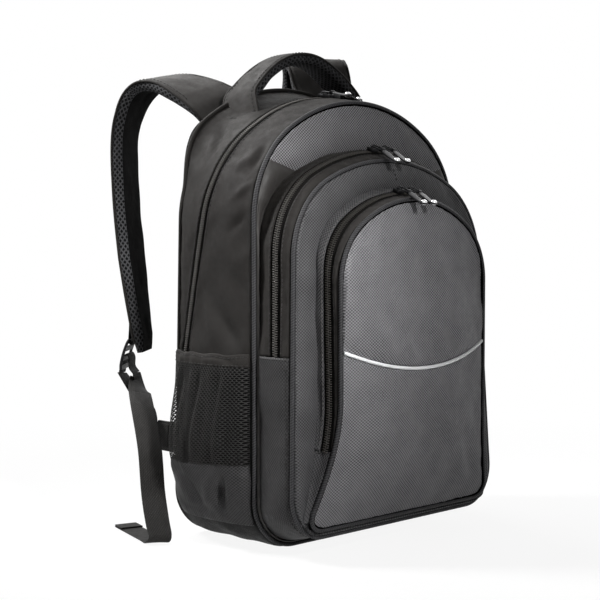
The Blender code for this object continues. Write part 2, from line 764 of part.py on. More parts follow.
def front_surface(x, z):
    """Point on the swelled face of the front pocket."""
    return Vector((x, front_y(z) - crown_depth(x, z), z))


def grid_faces(rows):
    """Quad faces between rows of points that run left to right, from the bottom row up."""
    length = len(rows[0])
    faces = []
    for j in range(len(rows) - 1):
        for i in range(length - 1):
            a = j * length + i
            faces.append((a, a + 1, a + length + 1, a + length))
    return faces


def front_panels():
    """The two cloth panels of the front pocket, split by the reflective piping."""
    clear = SMILE_RADIUS + SEAM_GAP
    edge = [(x - n.x * FRONT_CLEAR, z - n.y * FRONT_CLEAR)
            for (x, z), n in zip(FRONT_LOOP, FRONT_NORMALS)]

    outer = [edge[i] for i in reversed(over_top(FRONT_SMILE, FRONT_COUNT))]
    inner = [smile(1 - step / (len(outer) - 1)) for step in range(len(outer))]
    outer[0] = (outer[0][0], inner[0][1] + clear)
    outer[-1] = (outer[-1][0], inner[-1][1] + clear)
    upper = []
    for share in UPPER_ROWS:
        upper.append([front_surface(xi + (xo - xi) * share, (zi + clear) * (1 - share) + zo * share)
                      for (xi, zi), (xo, zo) in zip(inner, outer)])

    floor = edge[FLAT_STEPS][1]
    top = edge[FRONT_SMILE][1]
    lower = []
    for side_x, side_z in edge[FLAT_STEPS:FRONT_SMILE + 1]:
        row = []
        for step in range(LOWER_COLUMNS + 1):
            seam_x, seam_z = smile(1 - step / LOWER_COLUMNS)
            share = (side_z - floor) / (top - floor)
            z = floor + (seam_z - clear - floor) * share
            row.append(front_surface(side_x * seam_x / smile(0.0)[0], z))
        lower.append(row)

    for name, rows in (("front_upper_panel", upper), ("front_lower_panel", lower)):
        mesh = mesh_from_faces(name, [point for row in rows for point in row], grid_faces(rows))
        solidify(add_part(name, mesh, "textured_fabric"), PANEL_THICK)
    line = []
    for step in range(LOWER_COLUMNS + 1):
        x, z = smile(step / LOWER_COLUMNS)
        line.append(front_surface(x, z) - Vector((0.0, SEAM_GAP, 0.0)))
    tube("reflective_piping", line, SMILE_RADIUS, "reflective", False)


# Side pockets

def pocket_point(side, y, z, stand):
    """Point on a side pocket: the side wall's own surface plus the pocket's swell."""
    drop = max(0.0, MAIN.corner - z)
    wall = MAIN.half - MAIN.corner + math.sqrt(max(0.0, MAIN.corner ** 2 - drop ** 2))
    share = (y - FRONT_SEAM_Y) / (back_y(z) - FRONT_SEAM_Y)
    wall += SIDE_BULGE * 4 * share * (1 - share)
    middle = (POCKET_FRONT_Y + POCKET_BACK_Y) / 2
    reach = (POCKET_BACK_Y - POCKET_FRONT_Y) / 2
    swell = math.sqrt(max(0.0, 1.0 - abs((y - middle) / reach) ** 3))
    return Vector((side * (wall + POCKET_CLEAR + stand * swell), y, z))


def pocket_stand(z):
    """Swell of the pocket at a height: full at the middle of the mesh, drawn in at the hem and base."""
    full = POCKET_MESH_LEVELS[1]
    if z > full:
        share = (z - full) / (POCKET_HEM_LEVELS[1] - full)
        return POCKET_BULGE + (POCKET_HEM_BULGE - POCKET_BULGE) * share ** 2
    share = (full - z) / (full - POCKET_LEVELS[0])
    return POCKET_BULGE * (1 - POCKET_BASE_DRAW * share ** 2)


def side_pockets():
    """Two open-topped side pockets, each a fabric base, a mesh panel and an elastic hem."""
    columns = spread(POCKET_FRONT_Y, POCKET_BACK_Y, POCKET_COLUMNS + 1)
    for side, tag in ((-1, "left"), (1, "right")):
        for stem, levels, look in (("side_pocket_base", POCKET_LEVELS, "textured_fabric"),
                                   ("side_pocket_mesh", POCKET_MESH_LEVELS, "spacer_mesh"),
                                   ("side_pocket_hem", POCKET_HEM_LEVELS, "plain_fabric")):
            rows = [[pocket_point(side, y, z, pocket_stand(z)) for z in levels] for y in columns]
            rows = rows if side > 0 else list(reversed(rows))
            band(f"{stem}_{tag}", rows, PANEL_THICK, look)


# Zip sliders and pulls, built lying on the XY plane with the zip along X and the front at -Y

def slider_mesh(lying):
    """Slider with its groove, bridge and wire link as one mesh, and the middle of the link's far bar."""
    body = loose(rounded_box(SLIDER, SLIDER_BEVEL))
    body.data.transform(Matrix.Translation((0, 0, SLIDER_LIFT + SLIDER.z / 2)))
    boolean(body, rounded_box(GROOVE, 0.0), "DIFFERENCE")
    top = SLIDER_LIFT + SLIDER.z
    reach = SLIDER.x / 2 - BRIDGE_INSET
    arch = []
    for step in range(BRIDGE_STEPS + 1):
        angle = math.pi * step / BRIDGE_STEPS
        arch.append((reach * math.cos(angle), 0.0, top - BRIDGE_SUNK + BRIDGE_HEIGHT * math.sin(angle)))
    boolean(body, wire(arch, WIRE), "UNION")
    height = top + LINK_LIFT
    link = round_rectangle(LINK_WIDTH, LINK_LENGTH, LINK_CORNER, 1, (0.0, -LINK_LENGTH / 2))
    if lying:
        loop = [(LINK_ROOT - z, x, height) for x, z in link]
        bar = Vector((LINK_ROOT + LINK_LENGTH, 0.0, height))
    else:
        loop = [(x, z, height) for x, z in link]
        bar = Vector((0.0, -LINK_LENGTH, height))
    boolean(body, wire(loop, WIRE, closed=True), "UNION")
    mesh = body.data
    bpy.data.objects.remove(body, do_unlink=True)
    return mesh, bar


def pull_mesh():
    """Pull: a rolled eye along X at the origin, and a bowed tab with a bead end hanging along -Z."""
    outline = [(-EYE_LENGTH / 2, -TAB_NECK), (EYE_LENGTH / 2, -TAB_NECK), (TAB_WIDTH / 2, -TAB_SHOULDER)]
    round_end = TAB_WIDTH * TAB_END
    for step in range(TAB_END_STEPS + 1):
        angle = math.pi * step / TAB_END_STEPS
        outline.append((round_end * math.cos(angle), round_end * (1 - math.sin(angle)) - TAB_LENGTH))
    outline.append((-TAB_WIDTH / 2, -TAB_SHOULDER))
    tab = loose(plate([outline], TAB_THICK))
    boolean(tab, cylinder(EYE_RADIUS, EYE_LENGTH, 10), "UNION")
    boolean(tab, cylinder(EYE_BORE, EYE_LENGTH * 2, 8), "DIFFERENCE")
    bead = cylinder(BEAD_RADIUS, BEAD_LENGTH, 8)
    bead.transform(Matrix.Translation((0.0, -BEAD_SUNK, BEAD_RADIUS - TAB_LENGTH)))
    boolean(tab, bead, "UNION")
    mesh = tab.data
    bpy.data.objects.remove(tab, do_unlink=True)
    return mesh


def zip_seat(point_at, apex, share, step):
    """Frame of a zip's apex: columns along the zip, towards the back, and out of the tape."""
    origin = point_at(apex, share)
    across = point_at(apex, share + step) - point_at(apex, share - step)
    across = (across if across.y > 0 else -across).normalized()
    normal = Vector((1, 0, 0)).cross(across).normalized()
    frame = Matrix(((1, across.x, normal.x), (0, across.y, normal.y), (0, across.z, normal.z))).to_4x4()
    frame.translation = origin
    return frame


def zip_hardware():
    """Two sliders with their pulls on each zip, riding on empties at the centre of the zip's top arc."""
    seats = {
        "main": (zip_seat(main_point, COUNT // 2, MAIN_ZIP_TOP_Y, MAIN_STEP), MAIN, (False, True)),
        "mid": (zip_seat(mid_point, COUNT // 2, MID_ZIP, POCKET_STEP), MID, (False, False)),
        "front": (zip_seat(front_point, FRONT_COUNT // 2, FRONT_ZIP, POCKET_STEP), FRONT, (False, False)),
    }
    for zip_name, (seat, arch, lying) in seats.items():
        centre = Vector((0.0, seat.translation.y, arch.top - arch.crown_radius))
        for side, tag, lies in ((-1, "left", lying[0]), (1, "right", lying[1])):
            pivot = bpy.data.objects.new(f"{zip_name}_zip_{tag}_pivot", None)
            PARTS.objects.link(pivot)
            pivot.location = centre
            pivot.rotation_euler = (0.0, side * SLIDER_ANGLE[zip_name], 0.0)
            local = Matrix.Translation(-centre) @ seat
            body, bar = slider_mesh(lies)
            slider = add_part(f"{zip_name}_slider_{tag}", body, "gunmetal")
            slider.parent = pivot
            slider.matrix_local = local
            turn = Matrix.Rotation(PULL_DROP[zip_name] - math.pi / 2, 4, "X")
            if lies:
                turn = Matrix.Rotation(math.pi / 2, 4, "Z") @ turn
            pull = add_part(f"{zip_name}_pull_{tag}", pull_mesh(), "gunmetal")
            pull.parent = pivot
            pull.matrix_local = local @ Matrix.Translation(bar) @ turn


# Handle, straps and webbing

def ribbon(name, stations, look, corner_steps=2):
    """Strap through stations of (centre, width direction, thickness direction, width, thickness)."""
    points = []
    for centre, across, out, width, thick in stations:
        radius = min(thick, width) * 0.45
        for u, v in round_rectangle(width, thick, radius, corner_steps):
            points.append(centre + across * u + out * v)
    size = 4 * (corner_steps + 1)
    faces = []
    for row in range(len(stations) - 1):
        for i in range(size):
            a = row * size + i
            b = row * size + (i + 1) % size
            faces.append((a, b, b + size, a + size))
    faces.append(tuple(reversed(range(size))))
    faces.append(tuple(range((len(stations) - 1) * size, len(stations) * size)))
    mesh = mesh_from_faces(name, points, faces)
    work = bmesh.new()
    work.from_mesh(mesh)
    bmesh.ops.recalc_face_normals(work, faces=work.faces)
    work.to_mesh(mesh)
    work.free()
    return add_part(name, mesh, look)


def smooth_path(knots, count):
    """Evenly spread points on a smooth curve through knots."""
    fine = []
    padded = [knots[0] * 2 - knots[1], *knots, knots[-1] * 2 - knots[-2]]
    for p0, p1, p2, p3 in zip(padded, padded[1:], padded[2:], padded[3:]):
        for step in range(24):
            t = step / 24
            fine.append(0.5 * (2 * p1 + (p2 - p0) * t + (2 * p0 - 5 * p1 + 4 * p2 - p3) * t * t
                               + (3 * p1 - p0 - 3 * p2 + p3) * t ** 3))
    fine.append(knots[-1])
    lengths = [0.0]
    for a, b in zip(fine, fine[1:]):
        lengths.append(lengths[-1] + (b - a).length)
    points = []
    for target in spread(0.0, lengths[-1], count):
        k = next((i for i in range(1, len(lengths)) if lengths[i] >= target - 1e-12), len(lengths) - 1)
        share = (target - lengths[k - 1]) / max(lengths[k] - lengths[k - 1], 1e-12)
        points.append(fine[k - 1].lerp(fine[k], share))
    return points


def along_path(points, across_at, width_at, thick_at):
    """Ribbon stations along points, with the width direction given as a function of the share."""
    stations = []
    for index, point in enumerate(points):
        share = index / (len(points) - 1)
        tangent = (points[min(index + 1, len(points) - 1)] - points[max(index - 1, 0)]).normalized()
        across = across_at(share)
        across = (across - tangent * across.dot(tangent)).normalized()
        stations.append((point, across, across.cross(tangent), width_at(share), thick_at(share)))
    return stations


def haul_handle():
    """Padded loop over the top, standing on two rounded feet."""
    points = []
    for step in range(HANDLE_STATIONS):
        angle = math.pi * step / (HANDLE_STATIONS - 1)
        rise = HANDLE_RISE * math.sin(angle) ** HANDLE_ROUND
        points.append(Vector((-HANDLE_HALF_SPAN * math.cos(angle), 0.0, rise)))

    def across(share):
        return Vector((0, 1, 0))

    def width(share):
        full = min(1.0, HANDLE_WIDENS * min(share, 1 - share))
        return HANDLE_FOOT_WIDTH + (HANDLE_WIDTH - HANDLE_FOOT_WIDTH) * full

    def thick(share):
        full = min(1.0, HANDLE_THICKENS * min(share, 1 - share))
        return HANDLE_THICK * (HANDLE_FOOT_THICK + (1 - HANDLE_FOOT_THICK) * full)

    handle = ribbon("haul_handle", along_path(points, across, width, thick), "plain_fabric")
    handle.location = (0.0, HANDLE_Y, HANDLE_AXIS_Z)


def strap_knots(side, tag):
    """Route of a shoulder strap from its root seam, up and back, then down to its end."""
    return [STRAP_ROOT + Vector((-STRAP_ROOT.x + side * (STRAP_ROOT.x + out), back, up))
            for (back, up), out in zip(STRAP_ROUTES[tag], STRAP_SPREADS[tag])]


def shoulder_strap(side, tag):
    """Padded strap with its webbing loop, ladder lock, lower webbing and free tail."""
    slant = STRAP_ROOT_SLANT[tag]
    root = Vector((math.cos(slant), 0.0, -side * math.sin(slant)))
    hang = Vector((math.cos(STRAP_TWIST), -side * math.sin(STRAP_TWIST), 0.0))
    points = smooth_path(strap_knots(side, tag), STRAP_STATIONS)

    def across(share):
        return root.lerp(hang, min(1.0, share / STRAP_TURNED[tag])).normalized()

    def width(share):
        taper = max(0.0, (share - STRAP_TAPERS) / (1 - STRAP_TAPERS))
        return STRAP_WIDTH + (STRAP_END_WIDTH - STRAP_WIDTH) * taper

    def thick(share):
        swell = min(1.0, STRAP_ROOT_THICK + share * STRAP_SWELL[0])
        return STRAP_THICK * swell * min(1.0, STRAP_END_THICK + (1 - share) * STRAP_SWELL[1])

    stations = along_path(points, across, width, thick)
    strap = ribbon(f"shoulder_strap_{tag}", stations, "plain_fabric")
    pivot = points[0].copy()
    strap.data.transform(Matrix.Translation(-pivot))
    strap.location = pivot
    end, wide, out, _, _ = stations[-1]
    back = out if out.y > 0 else -out
    down = (points[-1] - points[-3]).normalized()
    strap_webbing(side, tag, end, wide, back, down)


def ladder_lock(tag, hinge, wide, back, down):
    """Three-bar lock hanging from its top bar, tilted away from the strap; returns its lower end."""
    lean = Matrix.Rotation(LADDER_TILT, 3, wide)
    if (lean @ down).dot(back) < 0:
        lean = Matrix.Rotation(-LADDER_TILT, 3, wide)
    hang = lean @ down
    face = lean @ back
    outline = round_rectangle(LADDER_SIZE.x, LADDER_SIZE.z, LADDER_CORNER, 3, (0.0, -LADDER_BAR_Z))
    slots = [round_rectangle(LADDER_SLOT.x, LADDER_SLOT.z, LADDER_SLOT_CORNER, 1, (0.0, z - LADDER_BAR_Z))
             for z in LADDER_SLOTS_Z]
    mesh = plate([outline, *slots], LADDER_SIZE.y)
    for vertex in mesh.vertices:
        vertex.co.y -= LADDER_BOW * (vertex.co.z + LADDER_BAR_Z) ** 2 - LADDER_BOW * LADDER_BAR_Z ** 2
    lock = add_part(f"ladder_lock_{tag}", mesh, "moulded_plastic", smooth=False)
    lock.matrix_world = Matrix((
        (wide.x, face.x, -hang.x, hinge.x),
        (wide.y, face.y, -hang.y, hinge.y),
        (wide.z, face.z, -hang.z, hinge.z),
        (0, 0, 0, 1)))
    return hinge + hang * (LADDER_SIZE.z / 2 + LADDER_BAR_Z)


def mirrored(side, point):
    """Point or direction given for the left side, moved to the asked side."""
    return Vector((-side * point[0], point[1], point[2]))


def twisting(side, first, turns):
    """Width direction along a webbing as a function of the share, through given directions."""
    knots = [(0.0, first * -side), *((share, mirrored(side, turn)) for share, turn in turns)]

    def across(share):
        for (s0, a), (s1, b) in zip(knots, knots[1:]):
            if share <= s1:
                return a.lerp(b, (share - s0) / (s1 - s0)).normalized()
        return knots[-1][1]

    return across


def webbing(name, points, across):
    """Flat webbing of the standard width along points."""
    def width(share):
        return WEBBING_WIDTH

    def thick(share):
        return WEBBING_THICK

    return ribbon(name, along_path(points, across, width, thick), "webbing", corner_steps=1)


def strap_webbing(side, tag, end, wide, back, down):
    """Ladder lock on its webbing loop behind the strap's end, with the lower webbing and the tail."""
    face = STRAP_THICK / 2 + 2 * SEAM_GAP + WEBBING_THICK / 2
    loop_top = end - down * LOOP_SEWN + back * face
    loop_end = end - down * LOOP_HANGS + back * (face + LOOP_STAND)

    def across(share):
        return wide

    loop = smooth_path([loop_top, loop_top.lerp(loop_end, 0.5), loop_end], 4)
    webbing(f"strap_webbing_loop_{tag}", loop, across)

    hinge = loop_end + down * LOOP_CLEAR
    foot = ladder_lock(tag, hinge, wide, back, down)

    start = foot + back * LOWER_START_OUT + Vector((0.0, 0.0, -LOWER_START_DROP))
    low = [start, *(mirrored(side, point) for point in LOWER_ROUTE)]
    webbing(f"lower_webbing_{tag}", smooth_path(low, LOWER_STATIONS), twisting(side, wide, LOWER_TURNS))
    piece = add_part(f"strap_anchor_{tag}", rounded_box(ANCHOR_SIZE, ANCHOR_BEVEL), "webbing", smooth=False)
    piece.location = mirrored(side, ANCHOR_PLACE)

    start = foot - back * TAIL_START_IN + Vector((0.0, 0.0, -TAIL_START_DROP))
    tail = [start, start + mirrored(side, TAIL_FALL), *(mirrored(side, point) for point in TAIL_ROUTE)]
    webbing(f"webbing_tail_{tag}", smooth_path(tail, TAIL_STATIONS), twisting(side, wide, TAIL_TURNS))


main_compartment()
middle_pocket()
front_pocket()
side_pockets()
zip_hardware()
haul_handle()
shoulder_strap(-1, "left")
shoulder_strap(1, "right")
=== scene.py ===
"""Looks of the school backpack: cloth, zips, mesh, padding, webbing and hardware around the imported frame.

Metres, +Z up. The front faces -Y, the wearer's back is at +Y, and the origin is the middle of the base.
"""
import math
from collections import namedtuple

import bmesh
import bpy
import numpy as np
from mathutils import Matrix, Vector


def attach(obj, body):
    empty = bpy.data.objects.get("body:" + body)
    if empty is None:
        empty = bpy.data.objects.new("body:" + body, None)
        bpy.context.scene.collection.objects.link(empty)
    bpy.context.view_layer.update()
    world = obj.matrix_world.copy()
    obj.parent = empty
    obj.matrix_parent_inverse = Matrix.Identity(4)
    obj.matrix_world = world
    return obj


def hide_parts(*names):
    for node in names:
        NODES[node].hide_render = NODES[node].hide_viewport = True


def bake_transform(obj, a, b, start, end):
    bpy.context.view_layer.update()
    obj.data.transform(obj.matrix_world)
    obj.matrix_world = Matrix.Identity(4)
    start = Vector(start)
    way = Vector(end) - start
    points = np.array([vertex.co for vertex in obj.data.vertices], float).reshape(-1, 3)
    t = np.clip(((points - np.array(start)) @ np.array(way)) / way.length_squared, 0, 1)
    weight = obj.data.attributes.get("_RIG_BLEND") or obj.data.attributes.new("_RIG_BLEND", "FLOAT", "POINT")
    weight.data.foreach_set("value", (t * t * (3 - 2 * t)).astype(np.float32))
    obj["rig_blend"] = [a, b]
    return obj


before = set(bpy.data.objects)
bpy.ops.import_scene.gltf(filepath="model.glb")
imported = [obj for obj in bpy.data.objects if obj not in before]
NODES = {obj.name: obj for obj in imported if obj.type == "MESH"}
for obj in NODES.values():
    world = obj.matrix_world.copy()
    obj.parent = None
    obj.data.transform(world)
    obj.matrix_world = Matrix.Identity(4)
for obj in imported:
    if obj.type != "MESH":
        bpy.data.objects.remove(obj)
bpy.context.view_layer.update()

# Camera that took the photograph: place, direction from the subject to it, and focal length in pixels
CAMERA_PLACE = Vector((-1.06895, -1.04681, 0.32148))
CAMERA_BACK = Vector((-0.70501, -0.70750, 0.04906))
CAMERA_FOCAL = 1354.93
PHOTO_WIDTH = 600
SENSOR = 36.0

# Arched outlines: half width at the spring line and at the foot, heights, radii and side levels
Arch = namedtuple("Arch", "half foot bottom top corner crown_radius crown_angle levels")
SIDE_LEVELS = (0.125, 0.200, 0.268)
FRONT_LEVELS = (0.068, 0.108, 0.150, 0.205)
MAIN = Arch(0.155, 0.155, 0.000, 0.460, 0.055, 0.190, math.radians(34), SIDE_LEVELS)
MID_BASE = Arch(0.1480, 0.1480, 0.0085, 0.4075, 0.045, 0.2219, math.radians(26.6), SIDE_LEVELS)
MID = Arch(0.1450, 0.1555, 0.021, 0.3970, 0.042, 0.2114, math.radians(26.6), SIDE_LEVELS)
FRONT_BASE = Arch(0.1170, 0.1170, 0.026, 0.3680, 0.020, 0.1535, math.radians(35.5), FRONT_LEVELS)
FRONT = Arch(0.1129, 0.1129, 0.029, 0.3567, 0.020, 0.1422, math.radians(35.5), FRONT_LEVELS)

# Places along an outline: 0 bottom centre, 1 corner, 2 side, 3 shoulder, 4 crown, 5 top centre, back to 10
BASE_SEAM = 1.75
ZIP_END = 2.5
FRONT_ZIP_END = 2.4
FRONT_FOOT = 1.75
FRONT_SMILE = 2.8
TOP = 5.0
ROUND = 10.0
FINE = 300
ZIP_OVERRUN = 0.05
LOWER_PANEL_FOOT = 1.02

# Depths
FRONT_SEAM_Y = -0.065
BACK_SEAM_Y = 0.056
BACK_LEAN = 0.012
MAIN_ZIP_TOP_Y = -0.019
MAIN_ZIP_BACK_OFFSET = 0.0146
MID_DEPTH = 0.0562
MID_LEAN = 0.037
FRONT_DEPTH = 0.0784
FRONT_RISE = 0.130
FRONT_FLARE = 0.030
POCKET_STANDOFF = 0.0048
SIDE_BULGE = 0.008
REAR_RISE = 0.021
REAR_SLOPES = (0.26, 0.80)
REAR_POWER = 5
SIDE_TURN = 0.7
MID_BULGE = 0.006
BACK_PAD = 0.010
FRONT_CROWN = 0.013
BASE_DRAW = 0.0030
SEAM_GAP = 0.0004
MID_ROOT = -0.003
FRONT_ROOT = -0.006
MID_CROWN = 0.002

# Zips: half width of the tape and of the gap between the folded edges, and shares of the pocket walls
ZIP_HALF = 0.0085
ZIP_OPEN = 0.0061
MID_ZIP = 0.590
MID_TAPE_HALF = 0.190
FRONT_ZIP = 0.440
FRONT_TAPE_HALF = 0.290
TAPE_SUNK = 0.0016
TOOTH_PITCH = 0.0024
TOOTH_REACH = 0.0033
TOOTH_RADIUS = 0.00075
TOOTH_SUNK = 0.0002
TOOTH_BOW = 0.0004
TOOTH_LEAN = (-0.15, 0.25)
ZIP_FADES = 0.020

# Cloth
PANEL_THICK = 0.0014
TAPE_THICK = 0.0008
PIPING_RADIUS = 0.0022
PIPING_STEP = 0.003
# Near-black tube sunk behind each front piping, painting the shade in the grooves beside it: its radius and
# depth
SHADE_SEAM_RADIUS = 0.0029
SHADE_SEAM_SUNK = 0.0021
SMILE_ENDS_Z = 0.205
SMILE_DIP = 0.021
SMILE_RADIUS = 0.0018
SMILE_HALF = FRONT.half - 0.0041
PILLOW_MAIN = 0.0035
PANEL_SEAM_Z = 0.3604
PANEL_SEAM_SLOPE = 0.258
SEAM_BLUR = 0.0004
PILLOW_MID = 0.0025
PILLOW_POWER = 0.7
PANEL_RINGS = 30
PANEL_OVERLAP = 1.15
PANEL_SHRINKS = (0.75, 0.5, 0.25, 0.02)
MID_SEAM = ((0.0005, 0.3885), (0.0070, 0.3722))
GRAIN = 0.003
SETTLES = 0.012
SLIDER_ROOM = (0.030, 0.075)
SLIDER_LEVEL = (0.30, 0.34)
PUCKER_HEIGHT = 0.00030
PUCKER_FADES = 0.009
PUCKER_STARTS = 0.003
CREASE_REACH = 0.03
EDGE_STEPS = (0.0, 0.0003, 0.0008, 0.0015, 0.0024, 0.0036)
STITCH_LENGTH = 0.0032
STITCH_GAP = 0.0016
STITCH_RADIUS = 0.00048
TOPSTITCH = 0.0022
LOWER_STITCH = 0.0058
END_STITCH = 0.0020
HEM_STITCHES = (0.0035, 0.0025)
BAND_CROWN = 0.05
BAND_ROUND = 0.45
BAND_STEPS = (6, 14)
WRINKLES_FROM = 0.03
OUTER_FACE = 0.62
INNER_FACE = 0.93
BACK_SEAMS = (0.12, 0.33)
BACK_SEAM_WIDTH = 0.006
BACK_CHANNEL = 0.009
BACK_SEWN = 0.75
BACK_EDGE = 0.14
BACK_STEP = 0.005
BACK_THICK = 0.003

# Weaves of the two main cloths, with their cells
BIAS = ("bias", (0.0037, 0.0031))
PLAIN = ("plain", (0.0016, 0.0016))

# Creases pressed into the cloth: place, direction, length, width and depth (a ridge where negative)
GUSSET_CREASES = (
    ((-0.1261, 0.0163, 0.4246), (-0.59, -0.47, -0.66), 0.013, 0.0034, 0.0040),
    ((-0.1371, 0.0122, 0.4119), (-0.55, -0.31, -0.78), 0.009, 0.0032, 0.0031),
    ((-0.1403, 0.0180, 0.4074), (-0.47, -0.36, -0.81), 0.014, 0.0045, -0.0024),
    ((-0.1388, -0.0539, 0.3979), (-0.56, 0.04, -0.83), 0.013, 0.0045, 0.0044),
    ((-0.1452, -0.0402, 0.3930), (0.38, -0.83, 0.40), 0.011, 0.0055, -0.0026),
    ((-0.1549, -0.0484, 0.3651), (0.31, -0.72, 0.62), 0.012, 0.0045, -0.0022),
    ((-0.1611, -0.0340, 0.2246), (0.08, -0.61, -0.79), 0.020, 0.0070, 0.0031),
    ((-0.1629, -0.0070, 0.2334), (0.0, -0.33, -0.94), 0.024, 0.0070, -0.0022),
    ((-0.1590, -0.0474, 0.3325), (0.15, -0.75, 0.64), 0.013, 0.0050, 0.0022),
    ((0.1450, 0.0150, 0.4050), (0.50, -0.35, -0.79), 0.014, 0.0040, 0.0035),
    ((0.1600, -0.0350, 0.2700), (-0.08, -0.61, -0.79), 0.022, 0.0070, 0.0031),
    ((0.1400, -0.0500, 0.3980), (0.56, 0.04, -0.83), 0.013, 0.0050, 0.0035),
)
MAIN_PANEL_CREASES = (
    ((-0.1084, -0.066, 0.3884), (0.97, 0.0, -0.25), 0.020, 0.0032, 0.0016),
    ((-0.1386, -0.066, 0.3532), (0.96, 0.0, -0.27), 0.012, 0.0045, -0.0012),
)
MID_PANEL_CREASES = (
    ((-0.1285, -0.108, 0.2438), (0.56, 0.0, -0.83), 0.024, 0.0090, 0.0030),
    ((0.1285, -0.108, 0.2300), (-0.56, 0.0, -0.83), 0.024, 0.0090, 0.0020),
)
FRONT_CREASES = (
    ((-0.0994, -0.150, 0.2127), (0.85, 0.0, 0.53), 0.013, 0.0055, 0.0014),
    ((-0.0130, -0.156, 0.2064), (0.53, 0.0, -0.85), 0.014, 0.0055, 0.0018),
    ((0.0000, -0.156, 0.2090), (0.53, 0.0, -0.85), 0.014, 0.0060, -0.0009),
    ((-0.1119, -0.140, 0.0720), (-0.53, 0.0, -0.85), 0.036, 0.0090, 0.0024),
    ((-0.0943, -0.145, 0.0677), (-0.43, 0.0, -0.90), 0.032, 0.0080, -0.0014),
    ((0.1000, -0.145, 0.0700), (0.50, 0.0, -0.86), 0.030, 0.0090, 0.0020),
)
POCKET_CREASES = (
    ((-0.1720, -0.0330, 0.0580), (-0.05, 0.15, -1.0), 0.016, 0.0042, 0.0105),
    ((-0.1740, -0.0200, 0.0620), (-0.05, 0.25, -1.0), 0.018, 0.0070, -0.0040),
    ((-0.1740, 0.0020, 0.0600), (-0.05, -0.30, -1.0), 0.014, 0.0060, 0.0030),
)
FOOT_CREASES = (
    ((-0.1277, -0.115, 0.0633), (0.54, 0.0, 0.84), 0.030, 0.0035, -0.0018),
    ((-0.1231, -0.120, 0.0642), (0.52, 0.0, 0.85), 0.026, 0.0035, 0.0018),
)

# Edges of cloth pieces, as the depth and the radius of their roll
Edge = namedtuple("Edge", "depth radius")
TUCKED = Edge(0.0020, 0.0034)
FOLDED = Edge(0.0010, 0.0013)
SEAMED = Edge(0.0009, 0.0016)
UNDER_PIPING = 0.0019
BACK_UNDER = 0.0008

# Side pockets
POCKET_FRONT_Y = -0.0605
POCKET_BACK_Y = 0.047
POCKET_BASE_Z = 0.040
POCKET_MESH_Z = 0.090
POCKET_FULL_Z = 0.120
POCKET_HEM_Z = 0.188
POCKET_TOP_Z = 0.201
POCKET_BULGE = 0.017
POCKET_HEM_BULGE = 0.011
POCKET_BASE_DRAW = 0.82
POCKET_CLEAR = 0.0030
POCKET_SEWN = 0.15
POCKET_TUCK = 0.012
MESH_PITCH = 0.0037
MESH_ROW = 0.0021
MESH_HOLE = 0.72
NET_OVERLAP = 0.001
NET_THICK = 0.0005
NET_GATHER = 0.02
HEM_WAVE = 0.0007
HEM_WAVELENGTH = 0.031
POCKET_SAG = 0.0100
POCKET_SAG_FROM = 0.03
POCKET_SAG_OVER = 0.15
POCKET_FOLD = 0.0016
POCKET_FOLD_RISE = (0.07, 0.11)
# Folds of the net: pitch, how far and how quickly they sway with height, and weight
POCKET_FOLDS = ((0.024, 1.5, 40, 1.0), (0.0135, -2.0, 28, 0.6))

# Zip hardware
SLIDER = Vector((0.0115, 0.0090, 0.0042))
SLIDER_LIFT = 0.0005
SLIDER_BEVEL = 0.0012
SLIDER_TAPER = 0.18
WIRE = 0.0008
BRIDGE_HEIGHT = 0.0034
BRIDGE_INSET = 0.0022
BRIDGE_SUNK = 0.0006
LINK_LIFT = 0.0016
LINK_LENGTH = 0.0125
LINK_WIDTH = 0.0078
LINK_CORNER = 0.0016
LINK_ROOT = 0.0027
EYE_RADIUS = 0.0021
EYE_BORE = 0.0013
EYE_LENGTH = 0.0050
TAB_LENGTH = 0.0260
TAB_WIDTH = 0.0100
TAB_THICK = 0.0018
TAB_NECK = 0.0012
TAB_SHOULDER = 0.0065
TAB_BOW = 0.0006
TAB_UPTURN = 0.0010
BEAD_RADIUS = 0.0030
BEAD_LENGTH = 0.0060
BEAD_SUNK = 0.0006
PULL_DROP = {"main": math.radians(8), "mid": math.radians(14), "front": math.radians(12)}
SLIDER_ANGLE = {"main": math.radians(2.4), "mid": math.radians(2.2), "front": math.radians(3.2)}

# Haul handle: its arch, then its sewn feet at widths of the main outline
HANDLE_Y = 0.030
HANDLE_HALF_SPAN = 0.0845
HANDLE_AXIS_Z = 0.4665
HANDLE_RISE = 0.0480
HANDLE_WIDTH = 0.035
HANDLE_FOOT_WIDTH = 0.0455
HANDLE_THICK = 0.012
HANDLE_FEET = (0.0885, 0.0945, 0.1000)
HANDLE_FEET_Y = 0.0210
HANDLE_FOOT_LIFT = 0.0022
HANDLE_FOOT_THICK = 0.30
HANDLE_CREASES = (
    ((-0.0720, 0.0200, 0.4880), (0.35, 1.0, 0.25), 0.010, 0.0035, 0.0022),
    ((-0.0600, 0.0260, 0.4960), (0.30, 1.0, 0.15), 0.010, 0.0040, 0.0014),
    ((0.0660, 0.0260, 0.4920), (-0.30, 1.0, 0.15), 0.010, 0.0040, 0.0016),
)
HANDLE_SEWN = ("bag", "handle", (0.0, HANDLE_Y, 0.454), (0.0, HANDLE_Y, 0.484))
HANDLE_STITCHES = (0.0015, 0.0040)
HANDLE_TOPSTITCH = 0.0050
HANDLE_POINTS = 150
HANDLE_WRINKLE = 0.0004

